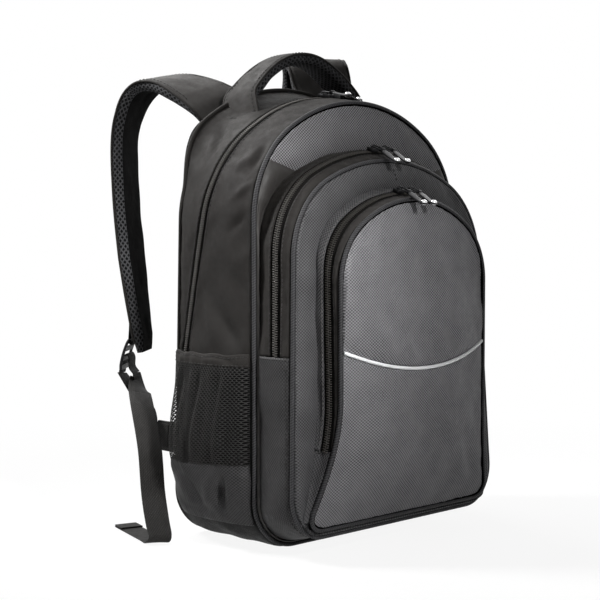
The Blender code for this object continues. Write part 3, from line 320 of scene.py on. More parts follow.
# Shoulder straps
STRAP_ROOT = Vector((0.084, 0.0560, 0.4520))
STRAP_ROOT_SLANT = {"left": math.radians(25), "right": math.radians(8)}
STRAP_TWIST = math.radians(36)
STRAP_WIDTH = 0.072
STRAP_END_WIDTH = 0.042
STRAP_THICK = 0.013
STRAP_STATIONS = 18
STRAP_POINTS = 150
STRAP_TOPSTITCH = 0.0065
STRAP_WRINKLE = 0.0005
STRAP_TURNED = {"left": 0.37, "right": 0.16}
STRAP_TAPERS = 0.75
STRAP_ROOT_THICK = 0.3
STRAP_END_THICK = 0.5
STRAP_SWELL = (8.0, 12.0)
STRAP_ROUTES = {
    "left": ((0.0, 0.0), (0.014, 0.0145), (0.064, 0.0355), (0.100, 0.0285), (0.1145, -0.012), (0.113, -0.086),
             (0.102, -0.177), (0.0945, -0.262)),
    "right": ((0.0, 0.0), (0.011, 0.034), (0.019, 0.062), (0.040, 0.068), (0.060, 0.036), (0.104, -0.082),
              (0.102, -0.177), (0.0945, -0.262)),
}
STRAP_SPREADS = {
    "left": (0.0, 0.010, 0.022, 0.033, 0.046, 0.048, 0.046, 0.038),
    "right": (0.0, -0.003, -0.007, 0.008, 0.025, 0.042, 0.046, 0.038),
}
STRAP_SUNK = (0.0, -0.0085, -0.0130)
BINDING_RADIUS = 0.0015
BINDING_PLACE = (0.11, 0.37)
BINDING_SHORT = 4

# Webbing and ladder locks, given for the left side
WEBBING_WIDTH = 0.025
WEBBING_THICK = 0.0016
WEBBING_RIBS = 11
WEBBING_RIB_DEPTH = 0.22
WEBBING_EDGE = 0.6
LADDER_HALF = 0.017
LADDER_RAIL = 0.0035
LADDER_EDGES = (0.0020, -0.0019, -0.0071, -0.0129, -0.0181, -0.0234, -0.0286, -0.0340)
LADDER_THICK = 0.003
LADDER_BAR_Z = 0.0160
LADDER_FOOT = 0.0340
LADDER_BOW = 5.0
LADDER_CUT = 0.86
LADDER_BEVEL = 0.0010
LADDER_TILT = math.radians(24)
LOOP_SEWN = 0.046
LOOP_HANGS = 0.016
LOOP_STAND = 0.0022
LOOP_CLEAR = 0.0032
LOOP_WRAP = 0.0032
LOOP_TUCK = 0.012
LOOP_RISE = 0.0006
LOCK_THREAD = ((0.0, 0.0046, -0.0290), (0.0, 0.0044, -0.0200), (0.0, 0.0012, -0.0155),
               (0.0, -0.0030, -0.0200), (0.0, -0.0056, -0.0290))
LOOP_POINTS = 70
THREAD_POINTS = 60
LOWER_POINTS = 60
TAIL_POINTS = 140
LOWER_CUT = 20
TAIL_CUT = 22
TAIL_HEM = 9
ANCHOR_PLACE = (-0.1572, 0.0700, 0.106)
ANCHOR_SIZE = (0.0030, 0.026, 0.032)
ANCHOR_BEVEL = 0.0010
ANCHOR_TUCK = 0.0060
LOWER_START_OUT = 0.0050
LOWER_START_DROP = 0.0035
LOWER_ROUTE = ((-0.1270, 0.1440, 0.1280), (-0.1450, 0.1100, 0.1120), (-0.1602, 0.0860, 0.1090),
               (-0.1600, 0.0620, 0.1070))
LOWER_TURNS = ((0.35, (0.85, 0.45, 0.25)), (0.75, (0.0, 0.0, 1.0)), (1.0, (0.0, 0.0, 1.0)))
FLOOR_CLEAR = 0.0014
TAIL_START_IN = 0.0115
TAIL_START_DROP = 0.0050
TAIL_FALL = (-0.0020, -0.0060, -0.0120)
TAIL_ROUTE = ((-0.1679, 0.0980, 0.1392), (-0.1862, 0.0620, 0.0976), (-0.1883, 0.0540, 0.0525),
              (-0.1917, 0.0430, 0.0237), (-0.1935, 0.0360, 0.0090), (-0.1925, 0.0430, FLOOR_CLEAR + 0.0008),
              (-0.1850, 0.0640, FLOOR_CLEAR), (-0.1645, 0.1320, FLOOR_CLEAR))
TAIL_TURNS = ((0.15, (0.95, 0.30, 0.0)), (0.35, (0.85, -0.50, 0.0)), (0.55, (0.708, -0.706, 0.0)),
              (0.68, (0.93, -0.33, 0.12)), (0.74, (0.97, -0.24, 0.0)), (1.0, (0.97, -0.24, 0.0)))

# Stage
FLOOR_HALF = 3.0
FLOOR_SHOWS = 0.10
FLOOR_FADES = (0.30, 0.95)
AMBIENT = 0.08
# Lights: place, point aimed at, size, power, and the angle their light spreads over
LIGHTS = {
    "key": ((-0.35, -1.75, 1.25), (-0.21, -0.12, 0.30), 0.25, 0.80, math.radians(16)),
    "top": ((0.2, 1.2, 1.6), (0.0, 0.0, 0.22), 1.0, 24.0, math.pi),
    "shoulder": ((-0.85, 0.90, 1.45), (-0.12, 0.02, 0.40), 0.35, 3.0, math.radians(40)),
    "right": ((1.6, 0.5, 1.0), (0.0, 0.0, 0.22), 1.0, 9.0, math.pi),
}


# Numbers and directions

def smooth_step(value, low, high):
    """Rise from 0 to 1 between two values, with no corner."""
    share = np.clip((value - low) / (high - low), 0.0, 1.0)
    return share * share * (3 - 2 * share)


def unit(vectors):
    """Vectors scaled to length 1."""
    return vectors / np.maximum(np.linalg.norm(vectors, axis=-1, keepdims=True), 1e-12)


def lengths(points):
    """Distance of each point from the first, along the line."""
    return np.concatenate(([0.0], np.cumsum(np.linalg.norm(np.diff(points, axis=0), axis=1))))


def read_along(line, run, places):
    """Values that belong to a line's points, read at places along its run."""
    return np.stack([np.interp(places, run, line[:, k]) for k in range(3)], axis=1)


def points_of(*coordinates):
    """Points from coordinates that fit each other in shape."""
    return np.stack(np.broadcast_arrays(*coordinates), axis=-1)


def spaced(points, count):
    """Line with a count of evenly spaced points."""
    run = lengths(points)
    return read_along(points, run, np.linspace(0.0, run[-1], count))


def resampled(points, step):
    """Line with evenly spaced points about a step apart."""
    return spaced(points, max(2, round(lengths(points)[-1] / step) + 1))


def unevenness(seed, length, waves=14):
    """Function of place that gives a smooth random height of about unit size, varying over a length."""
    chance = np.random.default_rng(seed)
    turns = unit(chance.normal(size=(waves, 3))) * chance.uniform(0.6, 1.5, (waves, 1)) * 2 * math.pi / length
    phases = chance.uniform(0, 2 * math.pi, waves)

    def height(points):
        return np.sin(points @ turns.T + phases).sum(axis=-1) / math.sqrt(waves / 2)

    return height


SLOW = unevenness(3, 0.120)
QUICK = unevenness(8, 0.036)
PUCKER = unevenness(11, 0.013)


def settled(points, normals, away, slow=0.0012, quick=0.0004):
    """Points moved by the cloth's own unevenness, left out beside seams and round the zip sliders."""
    beside = smooth_step(np.abs(points[..., 0]), *SLIDER_ROOM)
    below = 1 - smooth_step(points[..., 2], *SLIDER_LEVEL)
    free = np.maximum(beside, below) * smooth_step(away, 0.0, SETTLES)
    height = (slow * SLOW(points) + quick * QUICK(points)) * free
    moved = points + normals * height[..., None]
    moved[..., 2] = np.maximum(moved[..., 2], FLOOR_CLEAR)
    return moved


# Outlines and walls

class Outline:
    """Arched outline, read at places that run from 0 at the bottom centre over 5 at the top centre to 10."""

    def __init__(self, arch, flare=0.0):
        sine = math.sin(arch.crown_angle)
        shoulder = (arch.half - arch.crown_radius * sine) / (1 - sine)
        spring_x = arch.half - shoulder
        spring_z = arch.top - arch.crown_radius + (arch.crown_radius - shoulder) * math.cos(arch.crown_angle)
        flat = arch.foot - arch.corner
        foot_z = arch.bottom + arch.corner
        share = np.arange(FINE) / FINE
        corner = share * math.pi / 2
        levels = (foot_z, *arch.levels, spring_z)
        side_z = np.interp(share, np.linspace(0, 1, len(levels)), levels)
        side_x = arch.foot + (arch.half - arch.foot) * (side_z - foot_z) / (spring_z - foot_z)
        turn = share * (math.pi / 2 - arch.crown_angle)
        crown = arch.crown_angle * (1 - np.arange(FINE + 1) / FINE)
        self.at = np.arange(5 * FINE + 1) / FINE
        self.x = np.concatenate((flat * share, flat + arch.corner * np.sin(corner), side_x,
                                 spring_x + shoulder * np.cos(turn), arch.crown_radius * np.sin(crown)))
        self.z = np.concatenate((np.full(FINE, arch.bottom), foot_z - arch.corner * np.cos(corner), side_z,
                                 spring_z + shoulder * np.sin(turn),
                                 arch.top - arch.crown_radius * (1 - np.cos(crown))))
        if flare:
            self.x = self.x * (1 + flare / arch.half * (1 - front_rise(self.z)))

    def point(self, place):
        """Coordinates (x, z) at places along the outline."""
        place = np.mod(place, ROUND)
        right = np.minimum(place, ROUND - place)
        side = np.where(place > TOP, -1.0, 1.0)
        return side * np.interp(right, self.at, self.x), np.interp(right, self.at, self.z)

    def normal(self, place):
        """Outward unit normals (x, z) at places along the outline."""
        x0, z0 = self.point(place - 0.02)
        x1, z1 = self.point(place + 0.02)
        size = np.hypot(x1 - x0, z1 - z0)
        return (z1 - z0) / size, (x0 - x1) / size

    def run(self, start, end, step):
        """Places from start to end, evenly spaced along the outline about a step apart."""
        fine = np.linspace(start, end, 3000)
        x, z = self.point(fine)
        run = np.concatenate(([0.0], np.cumsum(np.hypot(np.diff(x), np.diff(z)))))
        return np.interp(np.linspace(0.0, run[-1], round(run[-1] / step) + 1), run, fine)

    def over(self, x):
        """Place on the right half of the arch over a width."""
        arch = slice(len(self.x) - 1, 3 * FINE, -1)
        return np.interp(x, self.x[arch], self.at[arch])

    def half_width(self, z):
        """Half width of the outline at heights."""
        return np.interp(z, self.z[FINE:], self.x[FINE:])


def crown_floor(arch):
    """Height at which the top arc of an outline begins."""
    return arch.top - arch.crown_radius * (1 - math.cos(arch.crown_angle))


def front_rise(z):
    """Share of the front pocket's full depth at heights."""
    return np.sin(math.pi / 2 * np.clip((z - FRONT.bottom) / FRONT_RISE, 0.0, 1.0))


MAIN_LINE = Outline(MAIN)
MID_BASE_LINE = Outline(MID_BASE)
MID_LINE = Outline(MID)
FRONT_BASE_LINE = Outline(FRONT_BASE, FRONT_FLARE)
FRONT_LINE = Outline(FRONT, FRONT_FLARE)


def side_share(nz):
    """How far an outline point belongs to the sides and top: 0 on the flat bottom, 1 elsewhere."""
    return np.clip((1.0 + nz) / SIDE_TURN, 0.0, 1.0)


def back_y(z):
    """Depth of the seam between the gussets and the back panel."""
    return BACK_SEAM_Y - BACK_LEAN * z / MAIN.top


def mid_y(z):
    """Depth of the middle pocket's front seam."""
    return FRONT_SEAM_Y - MID_DEPTH + MID_LEAN * np.minimum(z, crown_floor(MID))


def front_y(z):
    """Depth of the front pocket's seam."""
    near = mid_y(z) - POCKET_STANDOFF
    return near + (FRONT_SEAM_Y - FRONT_DEPTH - near) * front_rise(z)


def rear_rise(nz):
    """Height of the rear seam over the main outline: none at the sides, full over the top."""
    return REAR_RISE * smooth_step(nz, *REAR_SLOPES)


def main_wall(place, y):
    """Points on the bulged side and top wall of the main compartment, which rises towards the back."""
    x, z = MAIN_LINE.point(place)
    nx, nz = MAIN_LINE.normal(place)
    share = (y - FRONT_SEAM_Y) / (back_y(z) - FRONT_SEAM_Y)
    lift = SIDE_BULGE * 4 * share * (1 - share) * side_share(nz) + rear_rise(nz) * share ** REAR_POWER
    return points_of(x + nx * lift, y, z + nz * lift)


def mid_wall(place, share):
    """Points on the middle pocket's wall, from the main front panel (0) to its front seam (1)."""
    x0, z0 = MID_BASE_LINE.point(place)
    x1, z1 = MID_LINE.point(place)
    nx, nz = MID_LINE.normal(place)
    lift = MID_BULGE * 4 * share * (1 - share) * side_share(nz)
    start = FRONT_SEAM_Y - 2 * SEAM_GAP
    return points_of(x0 + (x1 - x0) * share + nx * lift, start + (mid_y(z1) - start) * share,
                     z0 + (z1 - z0) * share + nz * lift)


def front_wall(place, share):
    """Points on the front pocket's wall, from the middle panel (0) to its front seam (1)."""
    x0, z0 = FRONT_BASE_LINE.point(place)
    x1, z1 = FRONT_LINE.point(place)
    start = mid_y(z0) - POCKET_STANDOFF
    return points_of(x0 + (x1 - x0) * share, start + (front_y(z1) - start) * share, z0 + (z1 - z0) * share)


def main_zip_y(place):
    """Depth of the main zip: level over the top arc, then running back as it comes down."""
    z = MAIN_LINE.point(place)[1]
    low_z = SIDE_LEVELS[1]
    low_y = back_y(low_z) - MAIN_ZIP_BACK_OFFSET
    share = np.clip((crown_floor(MAIN) - z) / (crown_floor(MAIN) - low_z), 0.0, 1.0)
    slanting = MAIN_ZIP_TOP_Y + (low_y - MAIN_ZIP_TOP_Y) * share
    return np.where(z < low_z, back_y(z) - MAIN_ZIP_BACK_OFFSET, slanting)


def wall_depth(wall, place):
    """Straight depth of a pocket wall at places along its outline."""
    return np.maximum(np.linalg.norm(wall(place, 1.0) - wall(place, 0.0), axis=-1), 1e-4)


def front_face(x, z):
    """Points on the swelled face of the front pocket."""
    across = np.maximum(0.0, 1.0 - (np.abs(x) / np.maximum(FRONT_LINE.half_width(z), 1e-6)) ** 2.5)
    middle = (FRONT.top + FRONT.bottom) / 2
    along = np.maximum(0.0, 1.0 - (np.abs(z - middle) / (FRONT.top - middle)) ** 3)
    return points_of(x, front_y(z) - FRONT_CROWN * across * along, z)


# Materials

def new_material(name, roughness, metallic=0.0, specular=0.5):
    """Material with a Principled shader, returned with its node tree and shader."""
    look = bpy.data.materials.new(name)
    look.use_nodes = True
    shader = look.node_tree.nodes["Principled BSDF"]
    shader.inputs["Roughness"].default_value = roughness
    shader.inputs["Metallic"].default_value = metallic
    shader.inputs["Specular IOR Level"].default_value = specular
    return look, look.node_tree, shader


def join(tree, source, socket):
    """Set a socket to a number or colour, or link it to another socket."""
    if isinstance(source, bpy.types.NodeSocket):
        tree.links.new(source, socket)
    elif source is not None:
        socket.default_value = source


def maths(tree, operation, first, second=None):
    """Output of a Math node."""
    node = tree.nodes.new("ShaderNodeMath")
    node.operation = operation
    join(tree, first, node.inputs[0])
    join(tree, second, node.inputs[1])
    return node.outputs[0]


def weave_axes(tree):
    """The two coordinates of the weave, in metres along and across the cloth."""
    source = tree.nodes.new("ShaderNodeUVMap")
    source.uv_map = "weave"
    split = tree.nodes.new("ShaderNodeSeparateXYZ")
    tree.links.new(source.outputs["UV"], split.inputs[0])
    return split.outputs[0], split.outputs[1]


def wave(tree, value, pitch):
    """Sine of a coordinate with the given pitch, from -1 to 1."""
    return maths(tree, "SINE", maths(tree, "MULTIPLY", value, 2 * math.pi / pitch))


def cloudy(tree, scale, detail=3.0):
    """Cloudy noise over the object, from 0 to 1."""
    place = tree.nodes.new("ShaderNodeTexCoord")
    node = tree.nodes.new("ShaderNodeTexNoise")
    node.inputs["Scale"].default_value = scale
    node.inputs["Detail"].default_value = detail
    tree.links.new(place.outputs["Object"], node.inputs["Vector"])
    return node.outputs["Fac"]


def blend_colours(tree, share, first, second):
    """Colour mixed from two colours by a share."""
    node = tree.nodes.new("ShaderNodeMix")
    node.data_type = "RGBA"
    join(tree, share, node.inputs["Factor"])
    join(tree, first, node.inputs["A"])
    join(tree, second, node.inputs["B"])
    return node.outputs["Result"]


def spread_of(tree, value, low, high, to_low=0.0, to_high=1.0):
    """Value mapped from one range to another and held inside it."""
    node = tree.nodes.new("ShaderNodeMapRange")
    join(tree, value, node.inputs["Value"])
    for key, number in (("From Min", low), ("From Max", high), ("To Min", to_low), ("To Max", to_high)):
        node.inputs[key].default_value = number
    return node.outputs["Result"]


def pattern_of(tree, kind, cell):
    """Height of a weave from 0 to 1: a lattice on the bias, plain weave, ribs, twill or open mesh."""
    along, across = weave_axes(tree)
    if kind == "ribs":
        return spread_of(tree, wave(tree, across, cell[1]), -1.0, 1.0)
    if kind == "plain":
        threads = maths(tree, "MULTIPLY", wave(tree, along, cell[0]), wave(tree, across, cell[1]))
        return spread_of(tree, threads, -1.0, 1.0)
    run = maths(tree, "MULTIPLY", along, 1 / cell[0])
    rise = maths(tree, "MULTIPLY", across, 1 / cell[1])
    rising = wave(tree, maths(tree, "ADD", run, rise), 1.0)
    falling = wave(tree, maths(tree, "SUBTRACT", run, rise), 1.0)
    if kind == "twill":
        return spread_of(tree, rising, -1.0, 1.0)
    if kind == "bias":
        return spread_of(tree, maths(tree, "ADD", rising, falling), -1.2, 1.3)
    return spread_of(tree, maths(tree, "MAXIMUM", rising, falling), 0.05, 0.80)


def below_seam(tree):
    """Share of the plain lower part of the main panel: 1 below the slanting seam on each side, 0 above it."""
    along, across = weave_axes(tree)
    rise = maths(tree, "MULTIPLY", maths(tree, "ABSOLUTE", along), PANEL_SEAM_SLOPE)
    under = maths(tree, "SUBTRACT", maths(tree, "ADD", rise, PANEL_SEAM_Z), across)
    return spread_of(tree, under, -SEAM_BLUR, SEAM_BLUR)


def pocket_shade_below_hem(tree):
    """Share of the gusset painted near black as the shade inside the side pockets: 1 below their hems, 0
    above them.
    """
    place = tree.nodes.new("ShaderNodeTexCoord")
    parts = tree.nodes.new("ShaderNodeSeparateXYZ")
    tree.links.new(place.outputs["Object"], parts.inputs[0])
    under = maths(tree, "SUBTRACT", POCKET_HEM_Z, parts.outputs["Z"])
    return spread_of(tree, under, -SEAM_BLUR, SEAM_BLUR)


def add_bump(tree, shader, height, strength, distance):
    """Raise a shader's surface by a height."""
    bump = tree.nodes.new("ShaderNodeBump")
    bump.inputs["Strength"].default_value = strength
    bump.inputs["Distance"].default_value = distance
    tree.links.new(height, bump.inputs["Height"])
    tree.links.new(bump.outputs["Normal"], shader.inputs["Normal"])


def fabric(name, kind, cell, dark, light, roughness, lift=0.0003, cloud=0.18, shine=0.25, lower=None):
    """Woven cloth: two thread colours in a weave, slightly cloudy, with the weave as bump.

    Lower gives a share of the cloth, and the two thread colours of a plain weave, for what it covers.
    """
    look, tree, shader = new_material(name, roughness, specular=shine)
    pattern = pattern_of(tree, kind, cell)
    threads = blend_colours(tree, pattern, (*dark, 1.0), (*light, 1.0))
    if lower:
        share_below, *colours = lower
        below = share_below(tree)
        plain = pattern_of(tree, *PLAIN)
        threads = blend_colours(tree, below, threads, blend_colours(tree, plain, *colours))
        pattern = maths(tree, "MULTIPLY", pattern, maths(tree, "SUBTRACT", 1.0, below))
        light = colours[1][:3]
    clouds = spread_of(tree, cloudy(tree, 38.0), 0.3, 0.7, 0.0, cloud)
    faded = blend_colours(tree, clouds, threads, tuple(1.3 * part for part in light) + (1.0,))
    tree.links.new(faded, shader.inputs["Base Color"])
    tree.links.new(spread_of(tree, cloudy(tree, 160.0, 2.0), 0.25, 0.75, roughness - 0.08, roughness + 0.08),
                   shader.inputs["Roughness"])
    add_bump(tree, shader, pattern, 0.55, lift)
    return look


def plastic(name, colour, roughness, scale, metallic, shine):
    """Moulded plastic or plated metal with a fine uneven surface."""
    look, tree, shader = new_material(name, roughness, metallic, shine)
    clouds = spread_of(tree, cloudy(tree, scale), 0.3, 0.7)
    darker = tuple(0.82 * part for part in colour)
    tree.links.new(blend_colours(tree, clouds, (*colour, 1.0), (*darker, 1.0)), shader.inputs["Base Color"])
    tree.links.new(spread_of(tree, cloudy(tree, scale * 6), 0.3, 0.7, roughness - 0.06, roughness + 0.08),
                   shader.inputs["Roughness"])
    add_bump(tree, shader, cloudy(tree, scale * 25), 0.15, 0.0001)
    return look


# Fabrics: weave, its cell in metres, dark and light thread colour, roughness, and what differs from the usual
FABRICS = {
    "textured_fabric": (*BIAS, (0.008, 0.008, 0.009), (0.180, 0.177, 0.185), 0.6, {"shine": 0.4}),
    "panel_fabric": (*BIAS, (0.010, 0.010, 0.011), (0.250, 0.246, 0.256), 0.6,
                     {"shine": 0.3, "lower": (below_seam, (0.012, 0.011, 0.0105, 1.0),
                                              (0.028, 0.0258, 0.0242, 1.0))}),
    # The textured cloth made darker: painted shade on the middle front panel and the front pocket's gussets
    "painted_shade_fabric": (*BIAS, (0.004, 0.004, 0.004), (0.075, 0.074, 0.077), 0.65, {}),
    "plain_fabric": (*PLAIN, (0.009, 0.0082, 0.0076), (0.020, 0.0182, 0.0168), 0.7, {"shine": 0.12}),
    # Below the side pockets' hems the gussets are painted near black: painted shade inside the pockets
    "gusset_fabric": (*PLAIN, (0.009, 0.0082, 0.0076), (0.020, 0.0182, 0.0168), 0.7,
                      {"shine": 0.12, "lower": (pocket_shade_below_hem, (0.001, 0.001, 0.001, 1.0),
                                                (0.003, 0.003, 0.003, 1.0))}),
    # Plain cloth painted lighter: a painted sheen on the straps' outer side and painted light on the shaded
    # front welt
    "strap_fabric": (*PLAIN, (0.015, 0.0137, 0.0128), (0.030, 0.0275, 0.0256), 0.7, {"shine": 0.2}),
    "base_fabric": (*PLAIN, (0.003, 0.003, 0.003), (0.006, 0.006, 0.006), 0.6, {"shine": 0.08}),
    "pocket_fabric": (*BIAS, (0.004, 0.004, 0.004), (0.036, 0.035, 0.036), 0.65, {"shine": 0.2}),
    "spacer_mesh": ("mesh", (0.0066, 0.0052), (0.0004, 0.0004, 0.0004), (0.062, 0.062, 0.065), 0.8,
                    {"lift": 0.0010, "cloud": 0.02, "shine": 0.1}),
    "ribbed_mesh": ("ribs", (0.0026, 0.0026), (0.0004, 0.0004, 0.0004), (0.0030, 0.0030, 0.0030), 0.9,
                    {"lift": 0.0006, "cloud": 0.05, "shine": 0.02}),
    "net": ("plain", (0.0008, 0.0008), (0.012, 0.0116, 0.0112), (0.028, 0.0272, 0.0264), 0.7, {"shine": 0.1}),
    "piping": ("twill", (0.0026, 0.0050), (0.009, 0.009, 0.0095), (0.042, 0.0415, 0.044), 0.6,
               {"shine": 0.15}),
    # Near-black cloth of the tube behind the pipings: painted shade in the grooves beside them
    "seam": ("plain", (0.0010, 0.0010), (0.0008, 0.0008, 0.0008), (0.0020, 0.0020, 0.0020), 0.95,
             {"cloud": 0.05, "shine": 0.0}),
    "reflective": ("plain", (0.0007, 0.0007), (0.72, 0.73, 0.74), (0.92, 0.92, 0.92), 0.45, {"cloud": 0.05}),
    # The tape's own dark colour, made near black so that it also paints the shade in the gap between the
    # folded edges
    "zip_tape": ("ribs", (0.0010, 0.0010), (0.004, 0.0038, 0.0036), (0.011, 0.0103, 0.0097), 0.9,
                 {"cloud": 0.05, "shine": 0.05}),
    "webbing": ("twill", (0.0030, 0.0030), (0.005, 0.0048, 0.0046), (0.018, 0.017, 0.016), 0.75,
                {"shine": 0.15}),
    "thread": ("twill", (0.0012, 0.0012), (0.006, 0.006, 0.006), (0.020, 0.019, 0.018), 0.7, {}),
    "light_thread": ("twill", (0.0012, 0.0012), (0.040, 0.039, 0.038), (0.110, 0.107, 0.104), 0.7, {}),
}
# Plastics and metals: colour, roughness, scale of the unevenness, how metallic, and shine
PLASTICS = {
    "zip_coil": ((0.042, 0.039, 0.035), 0.5, 90.0, 0.0, 0.2),
    "gunmetal": ((0.012, 0.012, 0.013), 0.42, 60.0, 0.2, 0.15),
    "bright_metal": ((0.70, 0.70, 0.71), 0.16, 60.0, 1.0, 0.5),
    "moulded_plastic": ((0.011, 0.011, 0.012), 0.45, 45.0, 0.0, 0.15),
    "board": ((0.020, 0.020, 0.020), 0.6, 30.0, 0.0, 0.5),
}
LOOKS = {name: fabric(name, *settings, **options) for name, (*settings, options) in FABRICS.items()}
LOOKS.update({name: plastic(name, *settings) for name, settings in PLASTICS.items()})


# Meshes

def add_mesh(name, points, faces, look, weave=None):
    """New smooth mesh object from points and faces, with the weave's coordinates as its UV map."""
    mesh = bpy.data.meshes.new(name)
    mesh.from_pydata(np.asarray(points).reshape(-1, 3).tolist(), [], faces)
    if weave is not None:
        layer = mesh.uv_layers.new(name="weave")
        corner = np.empty(len(mesh.loops), np.int64)
        mesh.loops.foreach_get("vertex_index", corner)
        layer.data.foreach_set("uv", np.asarray(weave).reshape(-1, 2)[corner].astype(np.float32).ravel())
    mesh.shade_smooth()
    mesh.materials.append(LOOKS[look])
    item = bpy.data.objects.new(name, mesh)
    bpy.context.scene.collection.objects.link(item)
    return item


def seat(item, body, nodes=()):
    """Ride a piece on a body and stand it for CAD nodes."""
    if not item.get("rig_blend"):
        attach(item, body)
    if nodes:
        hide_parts(*nodes)
    return item


def quads(rows, columns, wrap=False, wrap_rows=False):
    """Faces of a grid whose points run along its columns first; a wrap joins the last line to the first."""
    row = np.arange(rows if wrap_rows else rows - 1)[:, None]
    column = np.arange(columns if wrap else columns - 1)[None, :]
    here = row * columns
    after = (row + 1) % rows * columns
    beside = (column + 1) % columns
    corners = (here + column, after + column, after + beside, here + beside)
    return np.stack(corners, axis=-1).reshape(-1, 4).tolist()


def end_caps(count, size):
    """Faces that close both ends of a skin through a count of rings."""
    return [tuple(range(size)), tuple(reversed(range((count - 1) * size, count * size)))]


def circles(side, up, angles):
    """Unit circle round each point of a line, from two directions square to it."""
    return side[:, None] * np.cos(angles)[None, :, None] + up[:, None] * np.sin(angles)[None, :, None]


def facing_y(grid, way):
    """Normals along the depth, one for each point of a grid."""
    normals = np.zeros_like(grid)
    normals[..., 1] = way
    return normals


def step_lengths(grid, axis):
    """Distances between neighbouring points of a grid along an axis."""
    return np.linalg.norm(np.diff(grid, axis=axis), axis=2)


def grid_normals(grid):
    """Unit normals of a grid of points, out of its front."""
    return unit(np.cross(np.gradient(grid, axis=0), np.gradient(grid, axis=1)))


def grid_weave(grid):
    """Weave coordinates of a grid: length along the middle row, and length along each column."""
    along = lengths(grid[len(grid) // 2])
    return points_of(along[None, :], edge_distance(grid, False))


def edge_distance(grid, from_end):
    """Distance of each grid point from the first row, or from the last one."""
    run = step_lengths(grid, 0)
    if from_end:
        run = run[::-1]
    run = np.concatenate((np.zeros((1, grid.shape[1])), np.cumsum(run, axis=0)))
    return run[::-1] if from_end else run


def seam_distance(grid):
    """Distance of each grid point from the nearer of the first and the last row."""
    return np.minimum(edge_distance(grid, False), edge_distance(grid, True))


def border_distance(grid):
    """Distance of each grid point from the nearest of the four edges."""
    return np.minimum(seam_distance(grid), seam_distance(grid.transpose(1, 0, 2)).T)


def rolled(grid, normals, first, last):
    """Grid whose first and last rows roll inwards, with small puckers along both edges."""
    height = np.zeros(grid.shape[:2])
    for edge, from_end in ((first, False), (last, True)):
        if edge is None:
            continue
        away = edge_distance(grid, from_end)
        inside = np.clip(1 - away / edge.radius, 0.0, 1.0)
        height -= edge.depth * (1 - np.sqrt(1 - inside ** 2))
        pucker = PUCKER_HEIGHT * PUCKER(grid) * np.exp(-away / PUCKER_FADES)
        height += pucker * smooth_step(away, 0.0, PUCKER_STARTS)
    return grid + normals * height[..., None]


def across(width, grain=GRAIN):
    """Shares over the width of a band, close together along both edges."""
    near = np.array(EDGE_STEPS) / width
    near = near[near < 0.45]
    middle = np.linspace(near[-1], 1 - near[-1], max(3, round(width / grain)))
    return np.concatenate((near[:-1], middle, 1 - near[-2::-1]))


Cloth = namedtuple("Cloth", "grid normals")


def thicken(item, thick):
    """Give an open surface a thickness behind its front."""
    shell = item.modifiers.new("thickness", "SOLIDIFY")
    shell.thickness = thick
    shell.offset = -1.0
    return item


def cloth(name, grid, look, node, weave=None, thick=PANEL_THICK, wrap=False):
    """Sewn piece of cloth from a grid of points."""
    normals = grid_normals(grid)
    weave = grid_weave(grid) if weave is None else weave
    item = add_mesh(name, grid, quads(*grid.shape[:2], wrap), look, weave)
    thicken(item, thick)
    seat(item, "bag", (node,))
    return Cloth(grid, normals)


def band(name, wall, places, low, high, look, node, first=TUCKED, last=TUCKED, sunk=0.0, thick=PANEL_THICK,
         creases=(), loose=True):
    """Strip of cloth on a wall between two lines, given front first; loose cloth is uneven and creased."""
    low = np.broadcast_to(low, places.shape)
    high = np.broadcast_to(high, places.shape)
    width = np.linalg.norm(wall(places, high) - wall(places, low), axis=-1).mean()
    shares = across(width)[:, None]
    grid = wall(places[None, :], low + (high - low) * shares)
    normals = grid_normals(grid)
    if loose:
        grid = creased(settled(grid, normals, seam_distance(grid)), normals, creases)
    grid = rolled(grid - normals * sunk, normals, first, last)
    return cloth(name, grid, look, node, thick=thick)


def tube_shape(points, radius, closed=False, sides=12):
    """Points, faces and weave coordinates of a round cord along points."""
    if closed:
        tangents = unit(np.roll(points, -1, axis=0) - np.roll(points, 1, axis=0))
    else:
        tangents = unit(np.gradient(points, axis=0))
    side = np.empty_like(points)
    guess = np.array((0.31, 0.87, 0.38))
    for index, tangent in enumerate(tangents):
        guess = guess - tangent * guess.dot(tangent)
        guess = guess / np.linalg.norm(guess)
        side[index] = guess
    angles = np.arange(sides) * 2 * math.pi / sides
    up = np.cross(side, tangents)
    grid = points[:, None] + circles(side, up, angles) * radius
    faces = quads(len(points), sides, True)
    if closed:
        last = (len(points) - 1) * sides
        shift = int(np.argmin(np.linalg.norm(grid[0] - grid[-1, 0], axis=1)))
        faces += [(last + i, (i + shift) % sides, (i + 1 + shift) % sides, last + (i + 1) % sides)
                  for i in range(sides)]
    else:
        faces += end_caps(len(points), sides)
    return grid.reshape(-1, 3), faces, points_of(lengths(points)[:, None], angles[None] * radius)


def tube(name, points, radius, look, closed=False):
    """Round cord along points, with its weave along and around it."""
    points, faces, weave = tube_shape(points, radius, closed)
    return add_mesh(name, points, faces, look, weave)


def piped(name, points, outline, places):
    """Piping along the front seam of a panel, over a near-black tube sunk behind it that paints the shade in
    the grooves beside the piping.
    """
    nx, nz = outline.normal(places)
    outward = unit(np.stack((nx, np.full_like(nx, -1.0), nz), axis=1))
    seat(tube(f"{name}_cord", points, PIPING_RADIUS, "piping", closed=True), "bag", (name,))
    # Near-black tube behind the cord: painted shade in the grooves beside the piping
    seam = tube(f"{name}_seam", points - outward * SHADE_SEAM_SUNK, SHADE_SEAM_RADIUS, "seam", closed=True)
    seat(seam, "bag")


